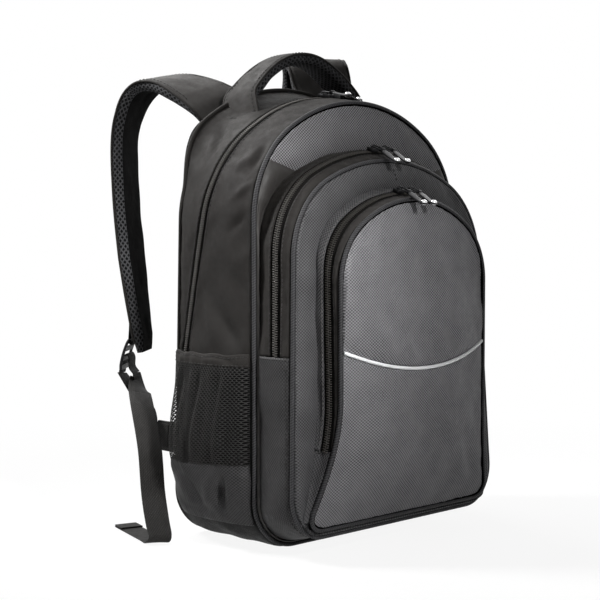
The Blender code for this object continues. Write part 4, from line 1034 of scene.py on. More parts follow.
def line_on(piece, distance, from_end=False):
    """Line on a piece of cloth at a distance from its first or last row, with the normals under it."""
    away = edge_distance(piece.grid, from_end)
    if from_end:
        away = away[::-1]
    rows = piece.grid[::-1] if from_end else piece.grid
    normals = piece.normals[::-1] if from_end else piece.normals
    index = np.clip((away < distance).sum(axis=0), 1, len(rows) - 1)
    columns = np.arange(rows.shape[1])
    before = away[index - 1, columns]
    share = ((distance - before) / np.maximum(away[index, columns] - before, 1e-9))[:, None]
    points = rows[index - 1, columns] * (1 - share) + rows[index, columns] * share
    return points, unit(normals[index - 1, columns])


def capsules(name, starts, ends, outs, radius, look, bow, sides=5):
    """Many small rounded bars in one mesh, each from a start to an end, bowed outwards in the middle."""
    shape = ((0.0, 0.25, 0.0), (0.18, 0.9, 0.75), (0.82, 0.9, 0.75), (1.0, 0.25, 0.0))
    angles = np.arange(sides) * 2 * math.pi / sides
    along = unit(ends - starts)
    side = unit(np.cross(along, outs))
    up = np.cross(side, along)
    ring = circles(side, up, angles)
    rings = []
    for share, thickness, rise in shape:
        centre = starts + (ends - starts) * share + up * (rise * bow)
        rings.append(centre[:, None] + ring * radius * thickness)
    points = np.stack(rings, axis=1)
    size = len(shape) * sides
    template = quads(len(shape), sides, True) + end_caps(len(shape), sides)
    faces = [tuple(corner + size * index for corner in face)
             for index in range(len(starts)) for face in template]
    weave = np.zeros((len(starts) * size, 2))
    weave[:, 0] = np.tile(np.repeat([step[0] for step in shape], sides), len(starts)) * STITCH_LENGTH
    return add_mesh(name, points, faces, look, weave)


def stitched(name, lines, body="bag", joined=None, look="thread"):
    """Rows of sewing stitches, as one piece, along lines of points with the normals under them."""
    starts, ends, outs = [], [], []
    for points, normals in lines:
        run = lengths(points)
        count = int(run[-1] / (STITCH_LENGTH + STITCH_GAP))
        places = np.arange(count) * (STITCH_LENGTH + STITCH_GAP)
        starts.append(read_along(points, run, places))
        ends.append(read_along(points, run, places + STITCH_LENGTH))
        outs.append(read_along(normals, run, places))
    item = capsules(name, np.concatenate(starts), np.concatenate(ends), unit(np.concatenate(outs)),
                    STITCH_RADIUS, look, STITCH_RADIUS * 0.9)
    if joined:
        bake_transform(item, *joined)
    return seat(item, body)


def zip_teeth(name, wall, places, middle, step, node):
    """Coil of a closed zip: two rows of loops that mesh along the middle of the tape."""
    line = wall(places, middle)
    back = wall(places, middle + step) - line
    points = resampled(line, TOOTH_PITCH)
    tangents = unit(np.gradient(points, axis=0))
    back = read_along(back, lengths(line), lengths(points))
    back = unit(back - tangents * (back * tangents).sum(axis=1, keepdims=True))
    outs = np.cross(back, tangents)
    points = points - outs * TOOTH_SUNK
    starts = []
    ends = []
    for way, shift in ((1.0, 0.0), (-1.0, 0.5)):
        starts.append(points + back * way * TOOTH_REACH + tangents * TOOTH_PITCH * (shift + TOOTH_LEAN[0]))
        ends.append(points - back * way * TOOTH_RADIUS + tangents * TOOTH_PITCH * (shift + TOOTH_LEAN[1]))
    item = capsules(name, np.concatenate(starts), np.concatenate(ends), np.concatenate((outs, outs)),
                    TOOTH_RADIUS, "zip_coil", TOOTH_BOW)
    return seat(item, "bag", (node,))


# Main compartment

def seam_outline(places, rear, inset=0.0):
    """Front or rear seam of the main compartment as (x, z), drawn in along the flat bottom."""
    x, z = MAIN_LINE.point(places)
    nx, nz = MAIN_LINE.normal(places)
    out = rear * rear_rise(nz) - BASE_DRAW * (1 - side_share(nz)) - inset
    return x + nx * out, z + nz * out


def seam_line(places, depth_of, rear):
    """Line of a main piping."""
    x, z = seam_outline(places, rear)
    return points_of(x, depth_of(z), z)


def front_seam(z):
    """Depth of the main compartment's front seam."""
    return np.full_like(z, FRONT_SEAM_Y)


def ring_panel(name, outline, inner, depth_of, pillow, look, node, swell, creases, draw=0.0):
    """Front panel in an outline, from its edge past an inner outline to the middle, puffed between."""
    places = outline.run(0.0, ROUND, GRAIN)[:-1]
    x, z = outline.point(places)
    nx, nz = outline.normal(places)
    inset = UNDER_PIPING + draw * (1 - side_share(nz))
    x = x - nx * inset
    z = z - nz * inset
    xi, zi = inner.point(places)
    middle = (outline.z.min() + outline.z.max()) / 2
    rows = []
    reach = np.hypot(xi - x, zi - z).mean()
    steps = np.array(EDGE_STEPS) / reach
    shares = np.concatenate((steps[:-1], np.linspace(steps[-1], PANEL_OVERLAP, PANEL_RINGS)))
    for share in shares:
        px = x + (xi - x) * share
        pz = z + (zi - z) * share
        puff = pillow * math.sin(math.pi * min(share, 1.0)) ** PILLOW_POWER
        rows.append(points_of(px, depth_of(pz) - (puff + swell), pz))
    last = rows[-1]
    for shrink in PANEL_SHRINKS:
        pz = middle + (last[:, 2] - middle) * shrink
        rows.append(points_of(last[:, 0] * shrink, depth_of(pz) - swell, pz))
    grid = np.stack(rows)[:, ::-1]
    normals = facing_y(grid, -1.0)
    grid = settled(grid, normals, edge_distance(grid, False), 0.0010, 0.0005)
    grid = rolled(creased(grid, normals, creases), normals, TUCKED, None)
    return cloth(name, grid, look, node, weave=grid[..., [0, 2]], wrap=True)


def zip_gap(places):
    """Half width of the gap between the folded edges along the main zip, closing below the zip's end."""
    z = MAIN_LINE.point(places)[1]
    return ZIP_OPEN * smooth_step(z, SIDE_LEVELS[1] - ZIP_FADES, SIDE_LEVELS[1])


def main_compartment():
    """Main compartment: gussets, zip, front panel, base and pipings."""
    upper = MAIN_LINE.run(BASE_SEAM, ROUND - BASE_SEAM, GRAIN)
    zipped = MAIN_LINE.run(ZIP_END - ZIP_OVERRUN, ROUND - ZIP_END + ZIP_OVERRUN, GRAIN)
    bottom = MAIN_LINE.run(-BASE_SEAM, BASE_SEAM, GRAIN)
    back = back_y(seam_outline(upper, 1)[1]) - BACK_UNDER
    front = FRONT_SEAM_Y + UNDER_PIPING
    middle = main_zip_y(upper)
    gap = zip_gap(upper)
    # The gussets' cloth is painted near black below the side pockets' hems: painted shade
    gusset = band("main_gusset_cloth", main_wall, upper, front, middle - gap, "gusset_fabric", "main_gusset",
                  TUCKED, FOLDED, creases=GUSSET_CREASES)
    rear = band("rear_gusset_cloth", main_wall, upper, middle + gap, back, "gusset_fabric", "rear_gusset",
                FOLDED, TUCKED, creases=GUSSET_CREASES)
    zip_line = main_zip_y(zipped)
    zip_tape("main", main_wall, zipped, zip_line - ZIP_HALF, zip_line + ZIP_HALF)
    zip_teeth("main_zip_teeth", main_wall, zipped, zip_line, 0.001, "main_zip_coil")
    z = MAIN_LINE.point(bottom)[1]
    band("base_cloth", main_wall, bottom, front, back_y(z) - BACK_UNDER, "base_fabric", "base_panel")
    places = MAIN_LINE.run(0.0, ROUND, PIPING_STEP)[:-1]
    piped("main_piping", seam_line(places, front_seam, 0), MAIN_LINE, places)
    cord = tube("back_piping_cord", seam_line(places, back_y, 1), PIPING_RADIUS, "plain_fabric", closed=True)
    seat(cord, "bag", ("back_piping",))
    ring_panel("main_front_cloth", MAIN_LINE, MID_BASE_LINE, front_seam, PILLOW_MAIN, "panel_fabric",
               "main_front_panel", 0.0, MAIN_PANEL_CREASES, BASE_DRAW)
    stitched("main_zip_stitching", [line_on(gusset, TOPSTITCH, True), line_on(rear, TOPSTITCH)])


def pressed(grid, normals, place, way, length, width, depth):
    """Grid with one soft crease: a place, a direction, a length, a width and a depth."""
    way = np.array(way) / np.linalg.norm(way)
    offset = grid - np.array(place)
    along = offset @ way
    beside = offset - along[..., None] * way
    beside = beside - normals * (beside * normals).sum(axis=-1, keepdims=True)
    side = np.linalg.norm(beside, axis=-1)
    share = np.exp(-(along / length) ** 2 - (side / width) ** 2)
    near = np.exp(-((offset * normals).sum(axis=-1) / CREASE_REACH) ** 2)
    return grid - normals * (depth * share * near)[..., None]


def creased(grid, normals, creases):
    """Grid with several soft creases."""
    for crease in creases:
        grid = pressed(grid, normals, *crease)
    return grid


def zip_tape(stem, wall, places, low, high):
    """Smooth tape of a zip, sunk below the folded edges of the cloth."""
    band(f"{stem}_zip_tape_cloth", wall, places, low, high, "zip_tape", f"{stem}_zip_tape", None, None,
         sunk=TAPE_SUNK, thick=TAPE_THICK, loose=False)


# Middle pocket

def from_share(wall, places, share, offset):
    """Share on a pocket wall that lies an offset in metres in front of another share."""
    return share + offset / wall_depth(wall, places)


def middle_pocket():
    """Middle compartment on the main front panel: walls, zip, panel and piping."""
    zipped = MID_LINE.run(ZIP_END, ROUND - ZIP_END, GRAIN)
    lower = MID_LINE.run(-ZIP_END, ZIP_END, GRAIN)
    front = from_share(mid_wall, zipped, 1.0, -UNDER_PIPING)
    ahead = from_share(mid_wall, zipped, MID_ZIP, ZIP_OPEN)
    behind = from_share(mid_wall, zipped, MID_ZIP, -ZIP_OPEN)
    root = from_share(mid_wall, zipped, 0.0, MID_ROOT)
    gusset = band("mid_gusset_cloth", mid_wall, zipped, behind, root, "plain_fabric", "mid_gusset",
                  FOLDED, SEAMED)
    welt = band("mid_welt_cloth", mid_wall, zipped, front, ahead, "plain_fabric", "mid_zip_welt",
                TUCKED, FOLDED)
    zip_tape("mid", mid_wall, zipped, MID_ZIP + MID_TAPE_HALF, MID_ZIP - MID_TAPE_HALF)
    zip_teeth("mid_zip_teeth", mid_wall, zipped, MID_ZIP, -0.02, "mid_zip_coil")
    side = band("mid_lower_cloth", mid_wall, lower, from_share(mid_wall, lower, 1.0, -UNDER_PIPING),
                from_share(mid_wall, lower, 0.0, MID_ROOT), "pocket_fabric", "mid_lower_gusset",
                TUCKED, SEAMED)
    places = MID_LINE.run(0.0, ROUND, PIPING_STEP)[:-1]
    piped("mid_piping", mid_wall(places, 1.0), MID_LINE, places)
    # The middle panel takes the darker cloth: painted shade
    panel = ring_panel("mid_front_cloth", MID_LINE, FRONT_BASE_LINE, mid_y, PILLOW_MID, "painted_shade_fabric",
                       "mid_front_panel", MID_CROWN, MID_PANEL_CREASES)
    stitched("mid_stitching", [line_on(gusset, TOPSTITCH), line_on(welt, TOPSTITCH, True),
                               line_on(side, LOWER_STITCH), across_line(side, END_STITCH),
                               across_line(side, END_STITCH, True), on_panel(panel, MID_SEAM)])


def on_panel(piece, ends):
    """Straight line on a front panel between two places (x, z), with the normals under it."""
    line = np.linspace(*ends, 20)
    flat = piece.grid.reshape(-1, 3)
    near = [int(np.argmin(np.hypot(*(flat[:, [0, 2]] - place).T))) for place in line]
    points = points_of(line[:, 0], flat[near, 1], line[:, 1])
    return points, facing_y(points, -1.0)


def across_line(piece, distance, from_end=False):
    """Line across a band at a distance from its first or last column, with the normals under it."""
    turned = Cloth(piece.grid.transpose(1, 0, 2), piece.normals.transpose(1, 0, 2))
    return line_on(turned, distance, from_end)


# Front pocket

def front_pocket():
    """Front pocket: walls, zip, upper and lower panel with the reflective piping between them."""
    zipped = FRONT_LINE.run(FRONT_ZIP_END, ROUND - FRONT_ZIP_END, GRAIN)
    ahead = from_share(front_wall, zipped, FRONT_ZIP, ZIP_OPEN)
    behind = from_share(front_wall, zipped, FRONT_ZIP, -ZIP_OPEN)
    root = from_share(front_wall, zipped, 0.0, FRONT_ROOT)
    front = from_share(front_wall, zipped, 1.0, -UNDER_PIPING)
    # The front pocket's gussets take the darker cloth: painted shade
    gusset = band("front_gusset_cloth", front_wall, zipped, behind, root, "painted_shade_fabric", "front_gusset",
                  FOLDED, SEAMED)
    # The front welt takes the lighter cloth: painted light on a face that lies in shade
    welt = band("front_welt_cloth", front_wall, zipped, front, ahead, "strap_fabric", "front_zip_welt",
                TUCKED, FOLDED)
    zip_tape("front", front_wall, zipped, FRONT_ZIP + FRONT_TAPE_HALF, FRONT_ZIP - FRONT_TAPE_HALF)
    zip_teeth("front_zip_teeth", front_wall, zipped, FRONT_ZIP, -0.02, "front_zip_coil")
    stitched("front_edge_stitching", [line_on(gusset, TOPSTITCH)], look="light_thread")
    lines = [line_on(welt, TOPSTITCH, True)]
    for tag, start, end in (("right", FRONT_FOOT, FRONT_ZIP_END),
                            ("left", ROUND - FRONT_ZIP_END, ROUND - FRONT_FOOT)):
        places = FRONT_LINE.run(start, end, 0.0025)
        edge = np.maximum(0.5, from_share(front_wall, places, 1.0, -UNDER_PIPING))
        root = np.maximum(-1.5, from_share(front_wall, places, 0.0, FRONT_ROOT))
        foot = band(f"front_side_cloth_{tag}", front_wall, places, edge, root, "painted_shade_fabric",
                    f"front_side_gusset_{tag}", TUCKED, SEAMED, creases=FOOT_CREASES)
        lines.append(across_line(foot, END_STITCH, tag == "right"))
    stitched("front_stitching", lines)
    places = FRONT_LINE.run(0.0, ROUND, PIPING_STEP)[:-1]
    piped("front_piping", front_wall(places, 1.0), FRONT_LINE, places)
    front_panels()


def smile(share):
    """Curved seam of the front panel as (x, z), from its right end (0) to its left end (1)."""
    x = SMILE_HALF * np.cos(math.pi * share)
    return x, SMILE_ENDS_Z - SMILE_DIP * (1 - (x / SMILE_HALF) ** 2)


def front_edge(places):
    """Edge of the front panels, tucked under the piping, as (x, z)."""
    x, z = FRONT_LINE.point(places)
    nx, nz = FRONT_LINE.normal(places)
    return x - nx * UNDER_PIPING, z - nz * UNDER_PIPING


def front_panels():
    """The two cloth panels of the front pocket, split by the reflective piping."""
    clear = SMILE_RADIUS * 0.4
    places = FRONT_LINE.run(FRONT_SMILE, ROUND - FRONT_SMILE, GRAIN)
    xo, zo = front_edge(places)
    xi, zi = smile(np.linspace(0.0, 1.0, len(places)))
    shares = np.concatenate((np.linspace(0.0, 0.94, 40), (0.955, 0.97, 0.98, 0.988, 0.994, 1.0)))[:, None]
    upper = front_face(xi + (xo - xi) * shares, (zi + clear) * (1 - shares) + zo * shares)

    sides = FRONT_LINE.run(LOWER_PANEL_FOOT, FRONT_SMILE, 0.0035)
    xs, zs = front_edge(sides)
    floor = zs[0]
    climb = ((zs - floor) / (zs[-1] - floor))[:, None]
    spread = np.concatenate(((0.0, 0.008, 0.016, 0.028, 0.045), np.linspace(0.07, 0.93, 56),
                             (0.955, 0.972, 0.984, 0.992, 1.0)))
    seam_x, seam_z = smile(np.arccos(np.clip(1 - 2 * spread, -1, 1)) / math.pi)
    lower = front_face(xs[:, None] * (seam_x / SMILE_HALF)[None, :],
                       floor + (seam_z[None, :] - clear - floor) * climb)

    for name, grid, node, last in (("front_upper_cloth", upper, "front_upper_panel", TUCKED),
                                   ("front_lower_cloth", lower, "front_lower_panel", SEAMED)):
        normals = facing_y(grid, -1.0)
        grid = creased(settled(grid, normals, border_distance(grid)), normals, FRONT_CREASES)
        grid = rolled(grid, normals, SEAMED, last)
        if node == "front_lower_panel":
            turned = rolled(grid.transpose(1, 0, 2), normals.transpose(1, 0, 2), TUCKED, TUCKED)
            grid = turned.transpose(1, 0, 2)
        cloth(name, grid, "textured_fabric", node, weave=grid[..., [0, 2]])
    cord = tube("reflective_cord", front_face(*smile(np.linspace(0.0, 1.0, 90))), SMILE_RADIUS, "reflective")
    seat(cord, "bag", ("reflective_piping",))


# Side pockets

def pocket_wall(side, y, z):
    """Points on a side pocket: the side wall's own surface plus the pocket's swell."""
    drop = np.maximum(0.0, MAIN.corner - z)
    wall = MAIN.half - MAIN.corner + np.sqrt(MAIN.corner ** 2 - drop ** 2)
    share = (y - FRONT_SEAM_Y) / (back_y(z) - FRONT_SEAM_Y)
    wall = wall + SIDE_BULGE * 4 * share * (1 - share)
    middle = (POCKET_FRONT_Y + POCKET_BACK_Y) / 2
    reach = (POCKET_BACK_Y - POCKET_FRONT_Y) / 2
    round_off = np.sqrt(np.maximum(0.0, 1.0 - np.abs((y - middle) / reach) ** 3))
    up = np.clip((z - POCKET_FULL_Z) / (POCKET_TOP_Z - POCKET_FULL_Z), 0.0, 1.0)
    down = np.clip((POCKET_FULL_Z - z) / (POCKET_FULL_Z - POCKET_BASE_Z), 0.0, 1.0)
    stand = POCKET_BULGE + (POCKET_HEM_BULGE - POCKET_BULGE) * up ** 2
    stand = stand - POCKET_BULGE * POCKET_BASE_DRAW * down ** 2
    folds = sum(weight * np.sin(y * 2 * math.pi / pitch + sway * np.sin(z * rate))
                for pitch, sway, rate, weight in POCKET_FOLDS)
    hem = smooth_step(z, POCKET_HEM_Z - POCKET_TUCK, POCKET_HEM_Z)
    folds = folds * round_off * smooth_step(z, *POCKET_FOLD_RISE) * (1 - 0.7 * hem)
    sag = np.sin(math.pi * np.clip((z - POCKET_SAG_FROM) / POCKET_SAG_OVER, 0.0, 1.0)) ** 2
    sag = sag * smooth_step(y, middle - reach, middle + reach / 2)
    clear = POCKET_CLEAR * np.minimum(1.0, POCKET_SEWN + 2 * round_off)
    x = wall + clear + stand * round_off + POCKET_FOLD * folds + POCKET_SAG * sag * round_off
    return points_of(side * x, y, z)


def hex_mesh(side):
    """Net of the pocket as a honeycomb with open holes: points on the pocket, faces and weave coordinates."""
    width = POCKET_BACK_Y - POCKET_FRONT_Y
    height = POCKET_HEM_Z - POCKET_MESH_Z
    columns = round(width / MESH_PITCH)
    rows = round(height / MESH_ROW)
    pitch = width / columns
    step = height / rows
    corners = np.array(((0, 2 / 3), (0.5, 1 / 3), (0.5, -1 / 3), (0, -2 / 3), (-0.5, -1 / 3), (-0.5, 1 / 3)))
    row, column = np.meshgrid(np.arange(rows + 1), np.arange(columns + 1), indexing="ij")
    centres = np.stack(((column + 0.5 * (row % 2)).ravel() - 0.25, row.ravel()), axis=1)
    outer = centres[:, None] + corners[None]
    inner = centres[:, None] + corners[None] * MESH_HOLE
    shared, index = np.unique(np.round(outer.reshape(-1, 2) * 12).astype(int), axis=0, return_inverse=True)
    index = index.reshape(-1, 6)
    flat = np.concatenate((shared / 12.0, inner.reshape(-1, 2)))
    hole = len(shared) + np.arange(len(centres) * 6).reshape(-1, 6)
    faces = []
    for k in range(6):
        after = (k + 1) % 6
        faces += np.stack((index[:, k], index[:, after], hole[:, after], hole[:, k]), axis=1).tolist()
    y = np.clip(POCKET_FRONT_Y + flat[:, 0] * pitch, POCKET_FRONT_Y, POCKET_BACK_Y)
    z = np.clip(POCKET_MESH_Z + flat[:, 1] * step, POCKET_MESH_Z - NET_OVERLAP, POCKET_HEM_Z + NET_OVERLAP)
    points = pocket_wall(side, y, z)
    if side > 0:
        faces = [face[::-1] for face in faces]
    return points, faces, np.stack((y, z), axis=1)


def side_pockets():
    """Two open-topped side pockets, each a fabric base, a net with real holes and an elastic hem."""
    width = POCKET_BACK_Y - POCKET_FRONT_Y
    columns = POCKET_FRONT_Y + width * across(width, 0.002)
    for side, tag in ((-1, "left"), (1, "right")):
        y = columns[None, :] if side > 0 else columns[None, ::-1]
        parts = (("base", POCKET_BASE_Z - POCKET_TUCK, POCKET_MESH_Z, "pocket_fabric", "textured_fabric"),
                 ("hem", POCKET_HEM_Z, POCKET_TOP_Z, "plain_fabric", "plain_fabric"))
        for stem, low, high, look, slot in parts:
            z = low + (high - low) * across(high - low, 0.0025)[:, None]
            if stem == "hem":
                wave_height = HEM_WAVE * np.sin(y * 2 * math.pi / HEM_WAVELENGTH + 0.8)
                z = z + wave_height * smooth_step(z, low, high)
            grid = pocket_wall(side, y, z)[::-1]
            normals = grid_normals(grid)
            grid = settled(grid, normals, seam_distance(grid), 0.0008, 0.0005)
            for place, way, *size in POCKET_CREASES:
                grid = pressed(grid, normals, mirrored(side, place), mirrored(side, way), *size)
            grid = rolled(grid, normals, SEAMED, SEAMED)
            piece = cloth(f"pocket_{stem}_cloth_{tag}", grid, look, f"side_pocket_{stem}_{tag}")
            if stem == "hem":
                lines = [line_on(piece, HEM_STITCHES[0]), line_on(piece, HEM_STITCHES[1], True)]
                stitched(f"pocket_stitching_{tag}", lines)
        points, faces, weave = hex_mesh(side)
        net = add_mesh(f"pocket_net_{tag}", points, faces, "net", weave)
        thicken(net, NET_THICK)
        seat(net, "bag", (f"side_pocket_mesh_{tag}",))
        size = (width + NET_GATHER, POCKET_HEM_Z - POCKET_MESH_Z)


# Back panel

def back_swell(x, z):
    """Padding of the back panel: two long pads with a channel between them and two sewn across."""
    middle = (MAIN.top + REAR_RISE) / 2
    edge = np.minimum(1.0, (1 - np.maximum(np.abs(x) / MAIN.half, np.abs(z - middle) / middle)) / BACK_EDGE)
    pad = BACK_PAD * np.sqrt(np.clip(edge, 0.0, 1.0))
    channel = np.exp(-(x / BACK_CHANNEL) ** 2)
    for height in BACK_SEAMS:
        channel = np.maximum(channel, np.exp(-((z - height) / BACK_SEAM_WIDTH) ** 2))
    return pad * (1 - BACK_SEWN * channel)


def back_panel():
    """Padded back of spacer mesh."""
    places = MAIN_LINE.run(0.0, ROUND, BACK_STEP)[:-1]
    x, z = seam_outline(places, 1, BACK_UNDER)
    middle = (MAIN.top + REAR_RISE) / 2
    shrinks = np.concatenate((1 - np.array(EDGE_STEPS) / 0.15, np.linspace(0.95, 0.02, 60)))
    rows = []
    for shrink in shrinks:
        px = x * shrink
        pz = middle + (z - middle) * shrink
        rows.append(points_of(px, back_y(pz) + back_swell(px, pz), pz))
    grid = np.stack(rows)
    grid = rolled(grid, facing_y(grid, 1.0), TUCKED, None)
    faces = quads(*grid.shape[:2], True)
    faces.append(tuple(reversed(range(grid[:-1].size // 3, grid.size // 3))))
    item = add_mesh("back_pad", grid, faces, "spacer_mesh", grid[..., [0, 2]])
    thicken(item, BACK_THICK)
    seat(item, "bag", ("back_panel",))


# Zip sliders and pulls, built lying on the XY plane with the zip along X and the front at -Y

def block(size, bevel):
    """Points and faces of a box with rounded edges, centred on the origin."""
    work = bmesh.new()
    bmesh.ops.create_cube(work, size=1.0, matrix=Matrix.Diagonal((*size, 1.0)))
    bmesh.ops.bevel(work, geom=work.edges[:], offset=bevel, segments=3, profile=0.5, affect="EDGES")
    work.verts.index_update()
    points = np.array([vertex.co for vertex in work.verts])
    faces = [tuple(vertex.index for vertex in face.verts) for face in work.faces]
    work.free()
    return points, faces


def loft(rings):
    """Points and faces of a skin through rings of points, capped at both ends."""
    count, size = rings.shape[:2]
    return rings.reshape(-1, 3), quads(count, size, True) + end_caps(count, size)


def merged(shapes):
    """Points and faces of several shapes as one."""
    points = []
    faces = []
    start = 0
    for some_points, some_faces in shapes:
        points.append(some_points)
        faces += [tuple(corner + start for corner in face) for face in some_faces]
        start += len(some_points)
    return np.concatenate(points), faces


def rounded_ring(width, thick, radius, steps, flat=2):
    """Outline of a rectangle with rounded corners as (u, v), with extra points along its long sides."""
    turns = np.linspace(0.0, math.pi / 2, steps + 1)
    fill = np.linspace(1.0, -1.0, flat + 2)[1:-1]
    long = width / 2 - radius
    short = thick / 2 - radius
    parts = []
    for quarter, (su, sv) in enumerate(((1, 1), (-1, 1), (-1, -1), (1, -1))):
        angle = turns + quarter * math.pi / 2
        parts.append(points_of(su * long + radius * np.cos(angle), sv * short + radius * np.sin(angle)))
        if quarter % 2 == 0:
            parts.append(points_of(su * fill * long, sv * thick / 2))
    return np.concatenate(parts)


def slider_shape(lying):
    """Slider with its bridge and wire link as points and faces, and the middle of the link's far bar."""
    points, faces = block(SLIDER, SLIDER_BEVEL)
    points[:, 1] *= 1 - SLIDER_TAPER * smooth_step(points[:, 0], -SLIDER.x / 2, SLIDER.x / 2)
    points[:, 2] += SLIDER_LIFT + SLIDER.z / 2
    top = SLIDER_LIFT + SLIDER.z
    reach = SLIDER.x / 2 - BRIDGE_INSET
    turn = np.linspace(0.0, math.pi, 13)
    arch = points_of(reach * np.cos(turn), 0.0, top - BRIDGE_SUNK + BRIDGE_HEIGHT * np.sin(turn))
    height = top + LINK_LIFT
    link = rounded_ring(LINK_WIDTH, LINK_LENGTH, LINK_CORNER, 5)
    link = points_of(link[:, 0], link[:, 1] - LINK_LENGTH / 2, height)
    bar = Vector((0.0, -LINK_LENGTH, height))
    if lying:
        link = points_of(LINK_ROOT - link[:, 1], link[:, 0], height)
        bar = Vector((LINK_ROOT + LINK_LENGTH, 0.0, height))
    bridge = tube_shape(arch, WIRE)
    wire = tube_shape(link, WIRE, closed=True)
    return merged(((points, faces), bridge[:2], wire[:2])), bar


def pull_shapes():
    """Pull: rolled eye along X at the origin with a bowed tab hanging along -Z, and its bead end."""
    share = np.linspace(0.0, 1.0, 30)
    down = TAB_NECK + (TAB_LENGTH - TAB_NECK) * share
    shoulder = smooth_step(down, TAB_NECK, TAB_SHOULDER)
    width = EYE_LENGTH + (TAB_WIDTH - EYE_LENGTH) * shoulder
    width = width - (TAB_WIDTH - BEAD_LENGTH) * smooth_step(down, TAB_SHOULDER, TAB_LENGTH) * 0.8
    bow = -TAB_BOW * np.sin(math.pi * share) + TAB_UPTURN * smooth_step(share, 0.72, 1.0)
    rings = []
    for z, wide, y in zip(down, width, bow):
        ring = rounded_ring(wide, TAB_THICK, TAB_THICK * 0.42, 3)
        rings.append(points_of(-ring[:, 0], ring[:, 1] - y, -z))
    tab = loft(np.stack(rings))
    angle = np.linspace(0.0, 2 * math.pi, 21)[:-1]
    ring = rounded_ring(EYE_LENGTH, EYE_RADIUS - EYE_BORE, 0.0003, 2)
    radius = (EYE_RADIUS + EYE_BORE) / 2 + ring[:, 1]
    eye = points_of(ring[:, 0], radius * np.cos(angle)[:, None], radius * np.sin(angle)[:, None])
    barrel = np.linspace(-1.0, 1.0, 11)
    swell = BEAD_RADIUS * np.sqrt(np.clip(1 - 0.55 * np.abs(barrel) ** 4, 0.0, 1.0))
    bead = points_of((BEAD_LENGTH / 2 * barrel)[:, None], swell[:, None] * np.sin(angle) - BEAD_SUNK,
                     swell[:, None] * np.cos(angle) + BEAD_RADIUS - TAB_LENGTH)
    return merged((tab, (eye.reshape(-1, 3), quads(*eye.shape[:2], True, True)))), loft(bead)


def placing_of(x, y, z, place):
    """Matrix whose columns are three directions and a place."""
    return Matrix(((x.x, y.x, z.x, place.x), (x.y, y.y, z.y, place.y),
                   (x.z, y.z, z.z, place.z), (0, 0, 0, 1)))


def zip_seat(wall, share, step):
    """Frame of a zip's apex: columns along the zip, towards the back, and out of the tape."""
    top = np.array(TOP)
    origin = Vector(wall(top, share))
    across = Vector(wall(top, share + step)) - Vector(wall(top, share - step))
    across = (across if across.y > 0 else -across).normalized()
    along = Vector((1, 0, 0))
    return placing_of(along, across, along.cross(across).normalized(), origin)


def zip_hardware():
    """Two sliders with their pulls on each zip."""
    seats = (("main", zip_seat(main_wall, MAIN_ZIP_TOP_Y, 0.001), MAIN, (False, True)),
             ("mid", zip_seat(mid_wall, MID_ZIP, 0.02), MID, (False, False)),
             ("front", zip_seat(front_wall, FRONT_ZIP, 0.02), FRONT, (False, False)))
    for zip_name, seated, arch, lying in seats:
        centre = Vector((0.0, seated.translation.y, arch.top - arch.crown_radius))
        for side, tag, lies in ((-1, "left", lying[0]), (1, "right", lying[1])):
            turned = Matrix.Rotation(side * SLIDER_ANGLE[zip_name], 4, "Y")
            local = Matrix.Translation(centre) @ turned @ Matrix.Translation(-centre) @ seated
            shape, bar = slider_shape(lies)
            slider = add_mesh(f"{zip_name}_slider_metal_{tag}", *shape, "gunmetal")
            slider.matrix_world = local
            seat(slider, f"{zip_name}_slider_{tag}_body", (f"{zip_name}_slider_{tag}",))
            drop = Matrix.Rotation(PULL_DROP[zip_name] - math.pi / 2, 4, "X")
            if lies:
                drop = Matrix.Rotation(math.pi / 2, 4, "Z") @ drop
            tab, bead = pull_shapes()
            for stem, form, look, nodes in (("tab", tab, "gunmetal", (f"{zip_name}_pull_{tag}",)),
                                            ("bead", bead, "bright_metal", ())):
                item = add_mesh(f"{zip_name}_pull_{stem}_{tag}", *form, look)
                item.matrix_world = local @ Matrix.Translation(bar) @ drop
                seat(item, f"{zip_name}_pull_{tag}_body", nodes)


# Handle and shoulder straps

def smooth_path(knots, count):
    """Evenly spread points on a smooth curve through knots."""
    knots = np.array([tuple(knot) for knot in knots])
    padded = np.concatenate((2 * knots[:1] - knots[1:2], knots, 2 * knots[-1:] - knots[-2:-1]))
    t = np.linspace(0.0, 1.0, 25)[:-1, None]
    fine = []
    for p0, p1, p2, p3 in zip(padded, padded[1:], padded[2:], padded[3:]):
        fine.append(0.5 * (2 * p1 + (p2 - p0) * t + (2 * p0 - 5 * p1 + 4 * p2 - p3) * t * t
                           + (3 * p1 - p0 - 3 * p2 + p3) * t ** 3))
    fine.append(knots[-1:])
    return spaced(np.concatenate(fine), count)


def frames(points, across_way):
    """Width directions square to a path, and the directions out of its flat side."""
    tangents = unit(np.gradient(points, axis=0))
    wide = unit(across_way - tangents * (across_way * tangents).sum(axis=-1, keepdims=True))
    return wide, np.cross(wide, tangents)


